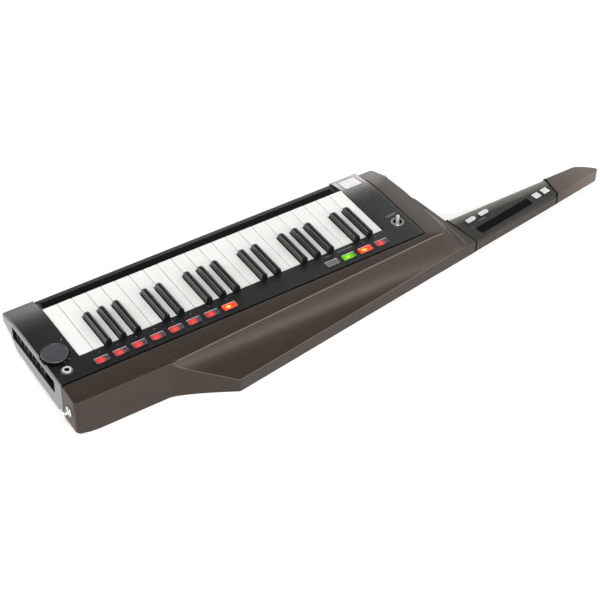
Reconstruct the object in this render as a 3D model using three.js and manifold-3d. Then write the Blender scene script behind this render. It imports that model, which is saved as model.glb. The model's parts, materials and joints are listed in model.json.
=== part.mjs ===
// A keytar: a keyboard case set into a carved wooden body, with a neck that carries hand controls.
// Millimetres. X runs along the keys toward the neck, Y toward the player, Z up from the flat back.
// The origin is on the back, under the middle of the keys.

import * as THREE from "three";
import { mergeVertices } from "three/addons/utils/BufferGeometryUtils.js";
import Module from "manifold-3d";

const wasm = await Module();
wasm.setup();

// Keys
const whiteCount = 22;
const whitePitch = 20;
const whiteVisible = 96;
const whiteHeight = 12;
const keyWall = 2;
const keyGap = 0.9;
const keyTop = 55.5;
const blackWidth = 9.6;
const blackTopWidth = 6.6;
const blackVisible = 60;
const blackRise = 8.5;
const blackNoseLength = 6;
const blackNoseFallShare = 0.2;
const blackShoulderShares = [
  [1, 0],
  [0.93, 0.65],
  [0.72, 0.93],
  [0.45, 1],
];
const whitesLeftOfBlackCounts = [2, 3, 4, 6, 7, 9, 10, 11, 13, 14, 16, 17, 18, 20, 21];
const tabWidth = 7;
const tabHeight = 8;
const tabLength = 12.5;
const tabTop = 52;
const pivotInset = 3;
const keyDip = 4;

// Keyboard case and top panel
const blockLength = 41.5;
const stripDepth = 33;
const noseDepth = 29;
const noseStep = 2.5;
const blockCornerRound = 3.5;
const panelTop = 57;
const panelThickness = 3;
const blockFallStart = 8;
const blockFallShare = 0.3;
const facetStart = 45;
const facetEnd = 69.5;
const facetStartFall = 1.9;
const facetEndFall = 6.4;
const lipFall = 12.5;
const lipShoulderShares = [0.7, 0.28];
const caseWall = 3;
const railTop = 48;
const railEdgeRound = 2;
const railRoof = 3.2;
const railStart = 49;
const longRibbonInset = 6;
const longRibbonStart = 51.5;
const longRibbonWidth = 15;
const longRibbonThickness = 1;
const ribbonSunk = 0.6;
const bevelStart = 22;
const bevelRise = 29;
const bevelReach = 56;
const bevelKneeShare = 0.4;
const noseUndersideRise = 38.5;
const skirtWidth = 2.4;
const seamGap = 0.4;
const fitGap = 0.4;
const seatGap = 0.3;
const overrun = 20;

// Steps in round shapes
const roundSides = 24;
const cornerSteps = 6;
const ballSteps = 6;

// Wooden body
const plateauHeight = 56.5;
const ridgeHeight = 53.5;
const plateauDepth = 33;
const woodStartFall = 3;
const woodEndFall = 10;
const woodLipFall = 16;
const woodShoulderShares = [0.5, 0.45];
const bodyEndRound = 10;
const wingRoot = -128;
const wingBend = 9;
const wingTipX = -60;
const wingTipY = -152;
const plankHeight = 19;
const plankAngle = THREE.MathUtils.degToRad(7.95);
const ridgeAngle = THREE.MathUtils.degToRad(3.1);
const rightPlateau = 21.5;
const ridgeCornerRound = 12;
const slopeWidth = 13;
const panelCornerRound = 3;
const ridgeLean = 8;
const flangeNeckReach = 21;
const flangeWaistReach = 14;
const flangeWaistY = 16;
const flangeFarReach = 1;
const flangeFarY = 52;
const slopeShares = [
  [0, 1],
  [0.03, 0.88],
  [0.08, 0.76],
  [0.14, 0.66],
  [0.22, 0.575],
  [0.35, 0.475],
  [0.5, 0.365],
  [0.75, 0.175],
  [1, 0],
];

// Tail end: its lower edge is cut off at a slant that grows toward the player
const tailCutNear = 5;
const tailCutFar = 15;
const tailCutLength = 22;

// Neck and head
const neckFarY = -41;
const headLength = 52.5;
const headTipLength = 26;
const headTipRound = 3;
const headTurnShare = 0.6;
const headFallShare = 0.3;
const bodyGrooveGap = 2.5;
const bodyGrooveLean = 8;
const headGrooveGap = 9.45;
const headGrooveLean = -8;
const grooveWidth = 1.2;
const neckPanelThickness = 5;
const neckPanelRise = 0.6;
const neckEdgeRound = 4.5;
const neckCavityInset = 3.4;

// Neck controls
const shortRibbonLength = 97;
const shortRibbonWidth = 12.5;
const shortRibbonThickness = 1;
const shortRibbonInset = 6.5;
const shortRibbonFromGroove = 22.5;
const roundedButtonLength = 16;
const roundedButtonWidth = 6.8;
const roundedButtonFromGroove = 27;
const roundedButtonFromEdge = 17;
const roundedButtonPitch = 23.6;
const squareButtonLength = 10.5;
const squareButtonWidth = 9.6;
const squareButtonGap = 9.25;
const squareButtonFromEdge = 23;
const squareButtonPitch = 16.3;
const neckButtonRise = 1.4;
const neckButtonFlange = 1;
const neckButtonFlangeHeight = 1.2;
const neckButtonTravel = 1;
const neckBoardSpace = 2.5;

// Panel buttons: rubber caps moulded on one mat for each row
const capLength = 18.5;
const capWidth = 9;
const capRise = 1.6;
const capPitch = 25.2;
const capFromSeam = 13.1;
const programFromKeys = 20.2;
const programCount = 8;
const functionFromKeys = 16.2;
const functionCount = 4;
const matWidth = 11.4;
const matThickness = 1.4;
const matDrop = 0.6;
const matTravel = 1;
const switchSize = 6;
const switchRise = 2.4;
const boardThickness = 1.6;
const switchBoardDepth = 13.6;

// Volume knob, phones socket and toggle switch
const knobRadius = 17;
const knobHeight = 7.5;
const knobFromEnd = 17;
const knobY = -32.5;
const knobSunk = 3.2;
const knobEdge = 0.8;
const knobShaftRadius = 3;
const knobShaftLength = 14;
const cupGap = 1.3;
const cupFloor = 2;
const phonesFromEnd = 17.9;
const phonesY = -61.8;
const phonesBore = 3.3;
const phonesNutRadius = 6;
const phonesNutHeight = 1.6;
const phonesBodyRadius = 7.6;
const phonesBodyLength = 16;
const phonesNeckRadius = 5;
const toggleFromEnd = 16.5;
const toggleY = -45.1;
const toggleRingRadius = 8.5;
const toggleRingHeight = 1.4;
const toggleNeckRadius = 6.4;
const toggleHole = 4.4;
const toggleBallRadius = 4;
const toggleLeverLength = 9;
const toggleLeverRadius = 2.8;
const toggleBodyLength = 14;

// Display window
const windowLength = 27.4;
const windowDepth = 23;
const windowThickness = 1.2;
const windowFromEnd = 21.2;
const windowRim = 3;

// Sockets in the tail end
const slotNear = -62;
const slotFar = 49;
const slotLow = 28;
const slotHigh = 47;
const socketDepth = 16;
const socketHeight = 15;
const socketWidth = 16;
const socketBore = 3.3;
const socketPitch = 21;
const socketFirstY = 38;
const socketCount = 4;
const portPlace = 2;
const portWidth = 8.4;
const portHeight = 7.6;
const sideBoardLow = 27;
const sideBoardLength = 36;
const sideBoardDepth = 104;
const potRadius = 8.5;
const legRadius = 3;

// Key chassis and main board
const chassisLow = 23;
const chassisPlate = 3;
const chassisEndGap = 1;
const chassisRear = -76;
const chassisFront = 44;
const frontRailWidth = 8;
const chassisFootRadius = 5;
const chassisFootInset = 14;
const chassisFootRearY = -69;
const chassisFootFrontY = 15;
const mainBoardLength = 380;
const mainBoardWidth = 64;
const mainBoardY = -27;
const mainBoardLow = 8;
const mainBossRadius = 3;
const mainBossShares = [-0.45, -0.15, 0.15, 0.45];
const chipShares = [-0.32, -0.05, 0.2];
const chipSize = 24;
const chipHeight = 4;

// Strap pins
const pinFlangeRadius = 6.5;
const pinNeckRadius = 3.6;
const pinHeadRadius = 6.5;
const pinLength = 10;
const pinFlangeLength = 2;
const pinHeadLength = 2.5;
const tailPinY = -97.5;
const tailPinZ = 28.5;
const shoulderPinReach = 8.5;
const shoulderPinY = 56;
const shoulderPinZ = 35.5;

// Places worked out from the sizes
const keysHalf = (whiteCount * whitePitch) / 2;
const caseHalf = keysHalf + blockLength;
const keyFront = whiteVisible / 2;
const keyRear = -keyFront;
const panelNear = keyRear - stripDepth;
const noseEdge = keyFront + noseDepth;
const railEdge = noseEdge - noseStep;
const bodyNear = panelNear - plateauDepth;
const panelUnderside = panelTop - panelThickness;
const keyBottom = keyTop - whiteHeight;
const tabBottom = tabTop - tabHeight;
const tabRear = keyRear - tabLength;
const pivotY = tabRear + pivotInset;
const knobX = -caseHalf + knobFromEnd;
const phonesX = -caseHalf + phonesFromEnd;
const toggleX = caseHalf - toggleFromEnd;
const windowX = caseHalf - windowFromEnd;
const capY = panelNear + capFromSeam;
const programStart = -keysHalf + programFromKeys;
const functionStart = keysHalf - functionFromKeys - (functionCount - 1) * capPitch;
const ridgeCornerX = caseHalf + rightPlateau;
const slopeFootX = ridgeCornerX + ridgeCornerRound + slopeWidth;
const shoulderPinX = ridgeCornerX + shoulderPinReach;
const flangeNeckX = slopeFootX + flangeNeckReach;
const flangeWaistX = slopeFootX + flangeWaistReach;
const flangeFarX = slopeFootX + flangeFarReach;
const bodyGrooveX = flangeNeckX + bodyGrooveGap;
const shortRibbonStart = bodyGrooveX + shortRibbonFromGroove;
const roundedButtonX = bodyGrooveX + roundedButtonFromGroove;
const squareButtonX = shortRibbonStart + shortRibbonLength + squareButtonGap + squareButtonLength / 2;
const headGrooveX = squareButtonX + squareButtonPitch + squareButtonLength / 2 + headGrooveGap;
const headTurnX = headGrooveX + headLength;
const headTipX = headTurnX + headTipLength;
const roundedButtonY = neckFarY - roundedButtonFromEdge;
const squareButtonY = neckFarY - squareButtonFromEdge;
const knobSeat = panelTop - knobSunk;
const neckTop = plankHeight + neckPanelRise;
const neckFloor = neckTop - neckPanelThickness - neckPanelRise;
const neckCavityDepth = seatGap + neckButtonFlangeHeight + neckButtonTravel + neckBoardSpace;
const mainBoardTop = mainBoardLow + boardThickness;
const matTop = panelUnderside - matDrop;
const matBottom = matTop - matThickness;
const switchTop = matBottom - matTravel - seatGap;
const switchBoardTop = switchTop - switchRise;
const switchBoardLow = switchBoardTop - boardThickness;
const lid = panelTop + overrun;
const below = -overrun;

// The near edge of the plank is one straight line from the wing tip to the head.
function plankEdgeY(x) {
  return wingTipY + (x - wingTipX) * Math.tan(plankAngle);
}

// The ridge runs along the body's near edge, then leans in beyond the wing root.
function ridgeY(x) {
  return bodyNear + Math.max(0, x - wingRoot) * Math.tan(ridgeAngle);
}

// Materials
function surface(color, roughness, metalness = 0) {
  return new THREE.MeshStandardMaterial({ color, roughness, metalness });
}

const wood = surface(0x46382f, 0.45);
const blackPlastic = surface(0x2a2b2e, 0.4);
const darkPlastic = surface(0x1c1d20, 0.6);
const whiteKey = surface(0xf3f4ee, 0.25);
const blackKey = surface(0x26261f, 0.35);
const ribbonFilm = surface(0x0c0c12, 0.3);
const whiteRubber = surface(0xdcdcd8, 0.5);
const redRubber = surface(0xd83a34, 0.4);
const greenRubber = surface(0x8fd024, 0.4);
const chrome = surface(0xd8d8d8, 0.15, 1);
const board = surface(0x1e4a2c, 0.6);
const windowPlastic = surface(0xc9bfc0, 0.2);

// Solids: closed meshes that can be joined, cut and met
function solid(geometry) {
  const bare = geometry.clone();
  bare.deleteAttribute("normal");
  bare.deleteAttribute("uv");
  const merged = mergeVertices(bare);
  const mesh = new wasm.Mesh({
    numProp: 3,
    vertProperties: new Float32Array(merged.attributes.position.array),
    triVerts: new Uint32Array(merged.index.array),
  });
  return new wasm.Manifold(mesh);
}

function joined(...solids) {
  return solids.reduce((whole, next) => whole.add(next));
}

function less(base, ...tools) {
  return tools.reduce((left, tool) => left.subtract(tool), base);
}

function block(x0, x1, y0, y1, z0, z1) {
  const geometry = new THREE.BoxGeometry(x1 - x0, y1 - y0, z1 - z0);
  return solid(geometry.translate((x0 + x1) / 2, (y0 + y1) / 2, (z0 + z1) / 2));
}

function outline(points) {
  return new THREE.Shape(points.map(([x, y]) => new THREE.Vector2(x, y)));
}

// A plan outline raised from z0 to z1
function raised(shape, z0, z1) {
  const geometry = new THREE.ExtrudeGeometry(shape, { depth: z1 - z0, bevelEnabled: false });
  return solid(geometry.translate(0, 0, z0));
}

// A profile given in (y, z), carried along X from x0 to x1
function carried(points, x0, x1) {
  const geometry = new THREE.ExtrudeGeometry(outline(points), { depth: x1 - x0, bevelEnabled: false });
  geometry.rotateY(Math.PI / 2);
  geometry.rotateX(Math.PI / 2);
  return solid(geometry.translate(x0, 0, 0));
}

function rod(radius, x, y, z0, z1, sides = roundSides) {
  const geometry = new THREE.CylinderGeometry(radius, radius, z1 - z0, sides);
  return solid(geometry.rotateX(Math.PI / 2).translate(x, y, (z0 + z1) / 2));
}

// A round bar along X
function crossRod(radius, x0, x1, y, z, sides = roundSides) {
  const geometry = new THREE.CylinderGeometry(radius, radius, x1 - x0, sides);
  return solid(geometry.rotateZ(Math.PI / 2).translate((x0 + x1) / 2, y, z));
}

// A turned piece about Z, from a profile of (radius, height) that starts and ends on the axis
function turned(profile, sides = roundSides) {
  const points = profile.map(([r, h]) => new THREE.Vector2(r, h));
  return solid(new THREE.LatheGeometry(points, sides).rotateX(Math.PI / 2));
}

// A closed skin over rings of points; every ring has as many points as the next.
// Rings may run either way round, so a skin that faces inward is turned over.
function lofted(rings) {
  const count = rings[0].length;
  const flat = rings.flat();
  const faces = [];
  for (let ring = 0; ring + 1 < rings.length; ring += 1) {
    for (let i = 0; i < count; i += 1) {
      const a = ring * count + i;
      const b = ring * count + ((i + 1) % count);
      faces.push([a, b, b + count], [a, b + count, a + count]);
    }
  }
  const last = (rings.length - 1) * count;
  for (let i = 1; i + 1 < count; i += 1) {
    faces.push([0, i + 1, i], [last, last + i, last + i + 1]);
  }
  const geometry = new THREE.BufferGeometry().setFromPoints(flat);
  geometry.setIndex(faces.flat());
  const skin = solid(geometry);
  if (skin.volume() > 0) return skin;
  geometry.setIndex(faces.flatMap(([a, b, c]) => [a, c, b]));
  return solid(geometry);
}

function geometryOf(manifold) {
  const mesh = manifold.getMesh();
  const geometry = new THREE.BufferGeometry();
  geometry.setAttribute("position", new THREE.BufferAttribute(mesh.vertProperties, 3));
  geometry.setIndex(new THREE.BufferAttribute(mesh.triVerts, 1));
  geometry.computeVertexNormals();
  return geometry;
}

const keytar = new THREE.Group();
keytar.name = "keytar";

function piece(name, manifold, material, parent = keytar) {
  const mesh = new THREE.Mesh(geometryOf(manifold), material);
  mesh.name = name;
  parent.add(mesh);
  return mesh;
}

// A top seen from the end: level, then falling to the player's side in a rounded lip
function fallingCurve(startFall, endFall, lastFall, [reachShare, fallShare], edge, drop) {
  const fallMiddle = (blockFallStart + facetStart) / 2;
  const shoulderY = facetEnd + reachShare * (edge - facetEnd);
  const shoulderFall = endFall + fallShare * (lastFall - endFall);
  const falls = [
    [panelNear - overrun, 0],
    [blockFallStart, 0],
    [fallMiddle, startFall * blockFallShare],
    [facetStart, startFall],
    [facetEnd, endFall],
    [shoulderY, shoulderFall],
    [edge, lastFall],
  ];
  return falls.map(([y, fall]) => [y, panelTop - fall - drop]);
}

// Top of the case, dropped by some depth
function topCurve(drop) {
  return fallingCurve(facetStartFall, facetEndFall, lipFall, lipShoulderShares, noseEdge, drop);
}

// Top of the wood, which falls a little lower than the case
function woodCurve() {
  return fallingCurve(woodStartFall, woodEndFall, woodLipFall, woodShoulderShares, railEdge, 0);
}

// Top of the rail in front of the keys
function railCurve() {
  return [
    [panelNear - overrun, railTop],
    [keyRear, railTop],
    [railEdge - railEdgeRound, railTop],
    [railEdge, railTop - railEdgeRound],
  ];
}

// Underside seen from the end: flat, then bevelled up to the player's side, raised by some wall
function undersideCurve(wall, edge) {
  return [
    [bevelStart - wall / 2, wall],
    [(bevelStart + bevelReach) / 2 - wall / 2, bevelRise * bevelKneeShare + wall],
    [bevelReach - wall / 2, bevelRise + wall],
    [(bevelReach + edge) / 2, (bevelRise + noseUndersideRise) / 2 + wall],
    [edge - wall, noseUndersideRise + wall],
  ];
}

// Everything under a top curve and above the underside, far beyond the near side
function insideSkin(x0, x1, curve) {
  const nearSide = wingTipY - overrun;
  const [edge] = curve.at(-1);
  const [, top] = curve[0];
  const start = [
    [nearSide, below],
    [bevelStart, below],
  ];
  const upper = curve.slice(1).reverse();
  return carried([...start, ...undersideCurve(0, edge), ...upper, [nearSide, top]], x0, x1);
}

// Plan of the case, rounded at the far corners of its two end blocks
function casePlan() {
  const shape = new THREE.Shape();
  const roundX = caseHalf - blockCornerRound;
  const roundY = noseEdge - blockCornerRound;
  shape.moveTo(-caseHalf, panelNear);
  shape.lineTo(caseHalf, panelNear);
  shape.lineTo(caseHalf, roundY);
  shape.absarc(roundX, roundY, blockCornerRound, 0, Math.PI / 2, false);
  shape.lineTo(-roundX, noseEdge);
  shape.absarc(-roundX, roundY, blockCornerRound, Math.PI / 2, Math.PI, false);
  return shape;
}

// Everything above the panel's underside, with a gap below it
function abovePanelUnderside(x0, x1) {
  const curve = topCurve(panelThickness + seatGap);
  const farSide = noseEdge + overrun;
  const roof = [
    [farSide, curve.at(-1)[1]],
    [farSide, lid],
    [panelNear - overrun, lid],
  ];
  return carried([...curve, ...roof], x0, x1);
}

// The slanted cut along the lower edge of the tail end, drawn in by some wall
function tailCut(wall) {
  const farX = -caseHalf - overrun;
  const endX = -caseHalf + wall;
  const backX = endX + tailCutLength;
  const ring = (y, height) => [
    new THREE.Vector3(farX, y, below),
    new THREE.Vector3(backX, y, below),
    new THREE.Vector3(backX, y, wall),
    new THREE.Vector3(endX, y, height + wall),
    new THREE.Vector3(farX, y, height + wall),
  ];
  return lofted([ring(noseEdge + overrun, tailCutFar), ring(bodyNear - overrun, tailCutNear)]);
}

// Wooden body: near strip, wing, right-hand block, neck plank and head in one piece
function plankOutline() {
  const shape = new THREE.Shape();
  const tipY = plankEdgeY(headTipX);
  const roundX = -caseHalf + bodyEndRound;
  const roundY = bodyNear + bodyEndRound;
  shape.moveTo(-caseHalf, noseEdge + overrun);
  shape.lineTo(-caseHalf, roundY);
  shape.absarc(roundX, roundY, bodyEndRound, Math.PI, 1.5 * Math.PI, false);
  shape.lineTo(wingRoot, bodyNear);
  shape.quadraticCurveTo(wingRoot + wingBend, bodyNear, wingTipX, wingTipY);
  shape.lineTo(headTipX - headTipRound, plankEdgeY(headTipX - headTipRound));
  shape.quadraticCurveTo(headTipX, tipY, headTipX, tipY + headTipRound);
  shape.quadraticCurveTo(
    headTurnX + headTurnShare * (headTipX - headTurnX),
    neckFarY + headFallShare * (tipY - neckFarY),
    headTurnX,
    neckFarY,
  );
  shape.lineTo(flangeNeckX, neckFarY);
  shape.lineTo(flangeWaistX, flangeWaistY);
  shape.lineTo(flangeFarX, flangeFarY);
  shape.lineTo(flangeFarX - ridgeLean, noseEdge + overrun);
  return shape;
}

// One cross-section of the space above the body's crown and its hollow slope
function slopeRing(seam, ridge, foot, outer) {
  const slope = slopeShares.map(([along, high]) => {
    const x = ridge[0] + along * (foot[0] - ridge[0]);
    const y = ridge[1] + along * (foot[1] - ridge[1]);
    return new THREE.Vector3(x, y, plankHeight + high * (ridgeHeight - plankHeight));
  });
  return [
    new THREE.Vector3(...outer, lid),
    new THREE.Vector3(...seam, lid),
    new THREE.Vector3(...seam, plateauHeight),
    ...slope,
    new THREE.Vector3(...outer, plankHeight),
  ];
}

function slopeCutter() {
  const centre = [ridgeCornerX, ridgeY(ridgeCornerX) + ridgeCornerRound];
  const seamCentre = [caseHalf + seamGap - panelCornerRound, panelNear - seamGap + panelCornerRound];
  const nearRing = (x) =>
    slopeRing([x, panelNear - seamGap], [x, ridgeY(x)], [x, plankEdgeY(x)], [x, plankEdgeY(x) - overrun]);
  const around = ([x, y], radius, angle) => [x + radius * Math.cos(angle), y + radius * Math.sin(angle)];
  const rings = [nearRing(-caseHalf - overrun), nearRing(wingRoot)];
  for (let step = 0; step <= cornerSteps; step += 1) {
    const angle = ((step / cornerSteps - 1) * Math.PI) / 2;
    rings.push(
      slopeRing(
        around(seamCentre, panelCornerRound, angle),
        around(centre, ridgeCornerRound, angle),
        around(centre, ridgeCornerRound + slopeWidth, angle),
        around(centre, ridgeCornerRound + slopeWidth + overrun, angle),
      ),
    );
  }
  const farY = noseEdge + overrun;
  const farX = ridgeCornerX + ridgeCornerRound - ridgeLean;
  const footX = farX + slopeWidth;
  rings.push(slopeRing([caseHalf + seamGap, farY], [farX, farY], [footX, farY], [footX + overrun, farY]));
  return lofted(rings);
}

// Plan of the neck between its two grooves, drawn in by some inset at the ends and the edges
const neckDepth = neckFarY - plankEdgeY(bodyGrooveX);

function neckPlan(endInset, edgeInset) {
  const farY = neckFarY - edgeInset;
  const corner = (start, lean, inset, y) => start + inset + (lean * (neckFarY - y)) / neckDepth;
  const nearLeftX = corner(bodyGrooveX, bodyGrooveLean, endInset, plankEdgeY(bodyGrooveX));
  const nearRightX = corner(headGrooveX, headGrooveLean, -endInset, plankEdgeY(headGrooveX));
  return outline([
    [corner(bodyGrooveX, bodyGrooveLean, endInset, farY), farY],
    [nearLeftX, plankEdgeY(nearLeftX) + edgeInset],
    [nearRightX, plankEdgeY(nearRightX) + edgeInset],
    [corner(headGrooveX, headGrooveLean, -endInset, farY), farY],
  ]);
}

function strapPinSeat() {
  const farX = shoulderPinX + overrun;
  return crossRod(pinFlangeRadius + fitGap, shoulderPinX, farX, shoulderPinY, shoulderPinZ);
}

function woodBody() {
  const plan = plankOutline();
  const plank = raised(plan, 0, plankHeight);
  const upper = raised(plan, 0, plateauHeight).intersect(
    block(-caseHalf, slopeFootX, wingTipY - overrun, noseEdge + overrun, below, lid),
  );
  const whole = joined(plank, less(upper, slopeCutter()));
  const pocket = block(
    -caseHalf - overrun,
    caseHalf + seamGap,
    panelNear - seamGap,
    noseEdge + 2 * overrun,
    below,
    lid,
  );
  return less(
    whole.intersect(insideSkin(-caseHalf - overrun, headTipX + overrun, woodCurve())),
    pocket,
    tailCut(0),
    raised(neckPlan(0, -overrun), neckFloor, lid),
    raised(neckPlan(neckCavityInset, neckCavityInset), neckFloor - neckCavityDepth, lid),
    strapPinSeat(),
  );
}

piece("wood_body", woodBody(), wood);

// Neck panel: a cap over the neck between the grooves, with its far edge rounded off
function roundedButton(grow) {
  const length = roundedButtonLength + 2 * grow;
  const radius = roundedButtonWidth / 2 + grow;
  const shape = new THREE.Shape();
  shape.moveTo(-length / 2, radius);
  shape.lineTo(-length / 2, -radius);
  shape.lineTo(length / 2 - radius, -radius);
  shape.absarc(length / 2 - radius, 0, radius, -Math.PI / 2, Math.PI / 2, false);
  return shape;
}

function rectangle(length, width) {
  return outline([
    [-length / 2, -width / 2],
    [length / 2, -width / 2],
    [length / 2, width / 2],
    [-length / 2, width / 2],
  ]);
}

function squareButton(grow) {
  return rectangle(squareButtonLength + 2 * grow, squareButtonWidth + 2 * grow);
}

// A plan outline raised from z0 to z1, then turned with the neck and moved to its place
function raisedOnNeck(shape, z0, z1, x, y) {
  const geometry = new THREE.ExtrudeGeometry(shape, { depth: z1 - z0, bevelEnabled: false });
  return solid(geometry.rotateZ(plankAngle).translate(x, y, z0));
}

const neckSlope = Math.tan(plankAngle);
const neckButtons = [
  ["octave_down_button", roundedButton, roundedButtonX, roundedButtonY],
  [
    "octave_up_button",
    roundedButton,
    roundedButtonX + roundedButtonPitch,
    roundedButtonY + roundedButtonPitch * neckSlope,
  ],
  ["neck_inner_button", squareButton, squareButtonX, squareButtonY],
  [
    "neck_outer_button",
    squareButton,
    squareButtonX + squareButtonPitch,
    squareButtonY + squareButtonPitch * neckSlope,
  ],
];

const shortRibbonX = shortRibbonStart + shortRibbonLength / 2;
const shortRibbonY = plankEdgeY(shortRibbonX) + shortRibbonInset + shortRibbonWidth / 2;

function neckRound() {
  const points = [
    [wingTipY, below],
    [neckFarY, below],
  ];
  for (let step = 0; step <= cornerSteps; step += 1) {
    const angle = ((step / cornerSteps) * Math.PI) / 2;
    points.push([
      neckFarY - neckEdgeRound * (1 - Math.cos(angle)),
      neckTop - neckEdgeRound * (1 - Math.sin(angle)),
    ]);
  }
  return carried([...points, [wingTipY, neckTop]], bodyGrooveX - overrun, headGrooveX + overrun);
}

function neckPanel() {
  const cap = raised(neckPlan(grooveWidth, -overrun), neckFloor + seatGap, neckTop)
    .intersect(raised(plankOutline(), 0, neckTop))
    .intersect(neckRound());
  const holes = neckButtons.map(([, shape, x, y]) => raisedOnNeck(shape(fitGap), 0, lid, x, y));
  const ribbonSeat = raisedOnNeck(
    rectangle(shortRibbonLength + 2 * fitGap, shortRibbonWidth + 2 * fitGap),
    neckTop - shortRibbonThickness,
    lid,
    shortRibbonX,
    shortRibbonY,
  );
  return less(cap, ribbonSeat, ...holes);
}

const neckGroup = new THREE.Group();
keytar.add(neckGroup);
piece("neck_panel", neckPanel(), blackPlastic, neckGroup);

const shortRibbon = piece(
  "short_ribbon",
  raised(rectangle(shortRibbonLength, shortRibbonWidth), 0, shortRibbonThickness - seatGap),
  ribbonFilm,
  neckGroup,
);
shortRibbon.position.set(shortRibbonX, shortRibbonY, neckTop - shortRibbonThickness + seatGap);
shortRibbon.rotation.z = plankAngle;

// Each neck button has a flange that keeps it under the panel.
for (const [name, shape, x, y] of neckButtons) {
  const flangeTop = neckFloor - seatGap;
  const flange = raised(shape(neckButtonFlange), flangeTop - neckButtonFlangeHeight, flangeTop);
  const cap = raised(shape(0), flangeTop - neckButtonFlangeHeight, neckTop + neckButtonRise);
  const button = piece(name, joined(flange, cap), whiteRubber, neckGroup);
  button.position.set(x, y, 0);
  button.rotation.z = plankAngle;
}

// Top panel: both end blocks and the button strip in one moulding, open at the keys
const windowFall = facetEndFall - facetStartFall;
const windowAngle = Math.atan(windowFall / (facetEnd - facetStart));
const windowY = (facetStart + facetEnd) / 2;
const windowTop = panelTop - (facetStartFall + facetEndFall) / 2;

// A slab that lies in the sloping facet, its top flush with it
function slopingSlab(length, depth, thickness, rise) {
  const geometry = new THREE.BoxGeometry(length, depth, thickness + rise);
  geometry.translate(0, 0, (rise - thickness) / 2);
  return solid(geometry.rotateX(-windowAngle).translate(windowX, windowY, windowTop));
}

function capHoles(start, count) {
  const holes = [];
  for (let i = 0; i < count; i += 1) {
    const x = start + i * capPitch;
    const halfLength = capLength / 2 + fitGap;
    const halfWidth = capWidth / 2 + fitGap;
    holes.push(block(x - halfLength, x + halfLength, capY - halfWidth, capY + halfWidth, below, lid));
  }
  return holes;
}

function topPanel() {
  const upper = [[panelNear, panelTop], ...topCurve(0).slice(1)];
  const under = [...topCurve(panelThickness).slice(1).reverse(), [panelNear, panelUnderside]];
  const shell = carried([...under.reverse(), ...upper.reverse()], -caseHalf, caseHalf);
  const keyHoleHalf = keysHalf + seamGap;
  const keyHole = block(-keyHoleHalf, keyHoleHalf, keyRear - seamGap, noseEdge + overrun, below, lid);
  const skirtZone = insideSkin(-caseHalf, caseHalf, topCurve(0));
  const skirts = [-1, 1].map((side) => {
    const inner = side * keyHoleHalf;
    const outer = inner + side * skirtWidth;
    const skirt = block(
      Math.min(inner, outer),
      Math.max(inner, outer),
      keyRear - seamGap - skirtWidth,
      noseEdge,
      railTop + seatGap,
      panelTop,
    );
    return skirt.intersect(skirtZone);
  });
  const cup = rod(knobRadius + cupGap + cupFloor, knobX, knobY, knobSeat - cupFloor, panelUnderside)
    .intersect(block(-caseHalf, caseHalf, panelNear, noseEdge, below, lid));
  return less(
    joined(less(shell, keyHole), ...skirts, cup).intersect(raised(casePlan(), 0, lid)),
    rod(knobRadius + cupGap, knobX, knobY, knobSeat, lid),
    rod(knobShaftRadius + fitGap, knobX, knobY, below, lid),
    rod(phonesNeckRadius + fitGap, phonesX, phonesY, below, lid),
    rod(toggleNeckRadius + fitGap, toggleX, toggleY, below, lid),
    slopingSlab(windowLength + 2 * fitGap, windowDepth + 2 * fitGap, windowThickness + seatGap, overrun),
    slopingSlab(windowLength - 2 * windowRim, windowDepth - 2 * windowRim, overrun, 0),
    ...capHoles(programStart, programCount),
    ...capHoles(functionStart, functionCount),
  );
}

const caseGroup = new THREE.Group();
keytar.add(caseGroup);
piece("top_panel", topPanel(), blackPlastic, caseGroup);
piece(
  "display_window",
  slopingSlab(windowLength, windowDepth, windowThickness, 0),
  windowPlastic,
  caseGroup,
);

// Lower case: the tray that holds the keys, with the socket slot in its tail end
const ribbonHalf = keysHalf - longRibbonInset;

function bosses(places, radius, z0, z1) {
  return places.map(([x, y]) => rod(radius, x, y, z0, z1, roundSides / 2));
}

const mainBossPlaces = mainBossShares.flatMap((share) => [
  [share * mainBoardLength, mainBoardY - mainBoardWidth / 2 + legRadius * 2],
  [share * mainBoardLength, mainBoardY + mainBoardWidth / 2 - legRadius * 2],
]);

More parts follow.
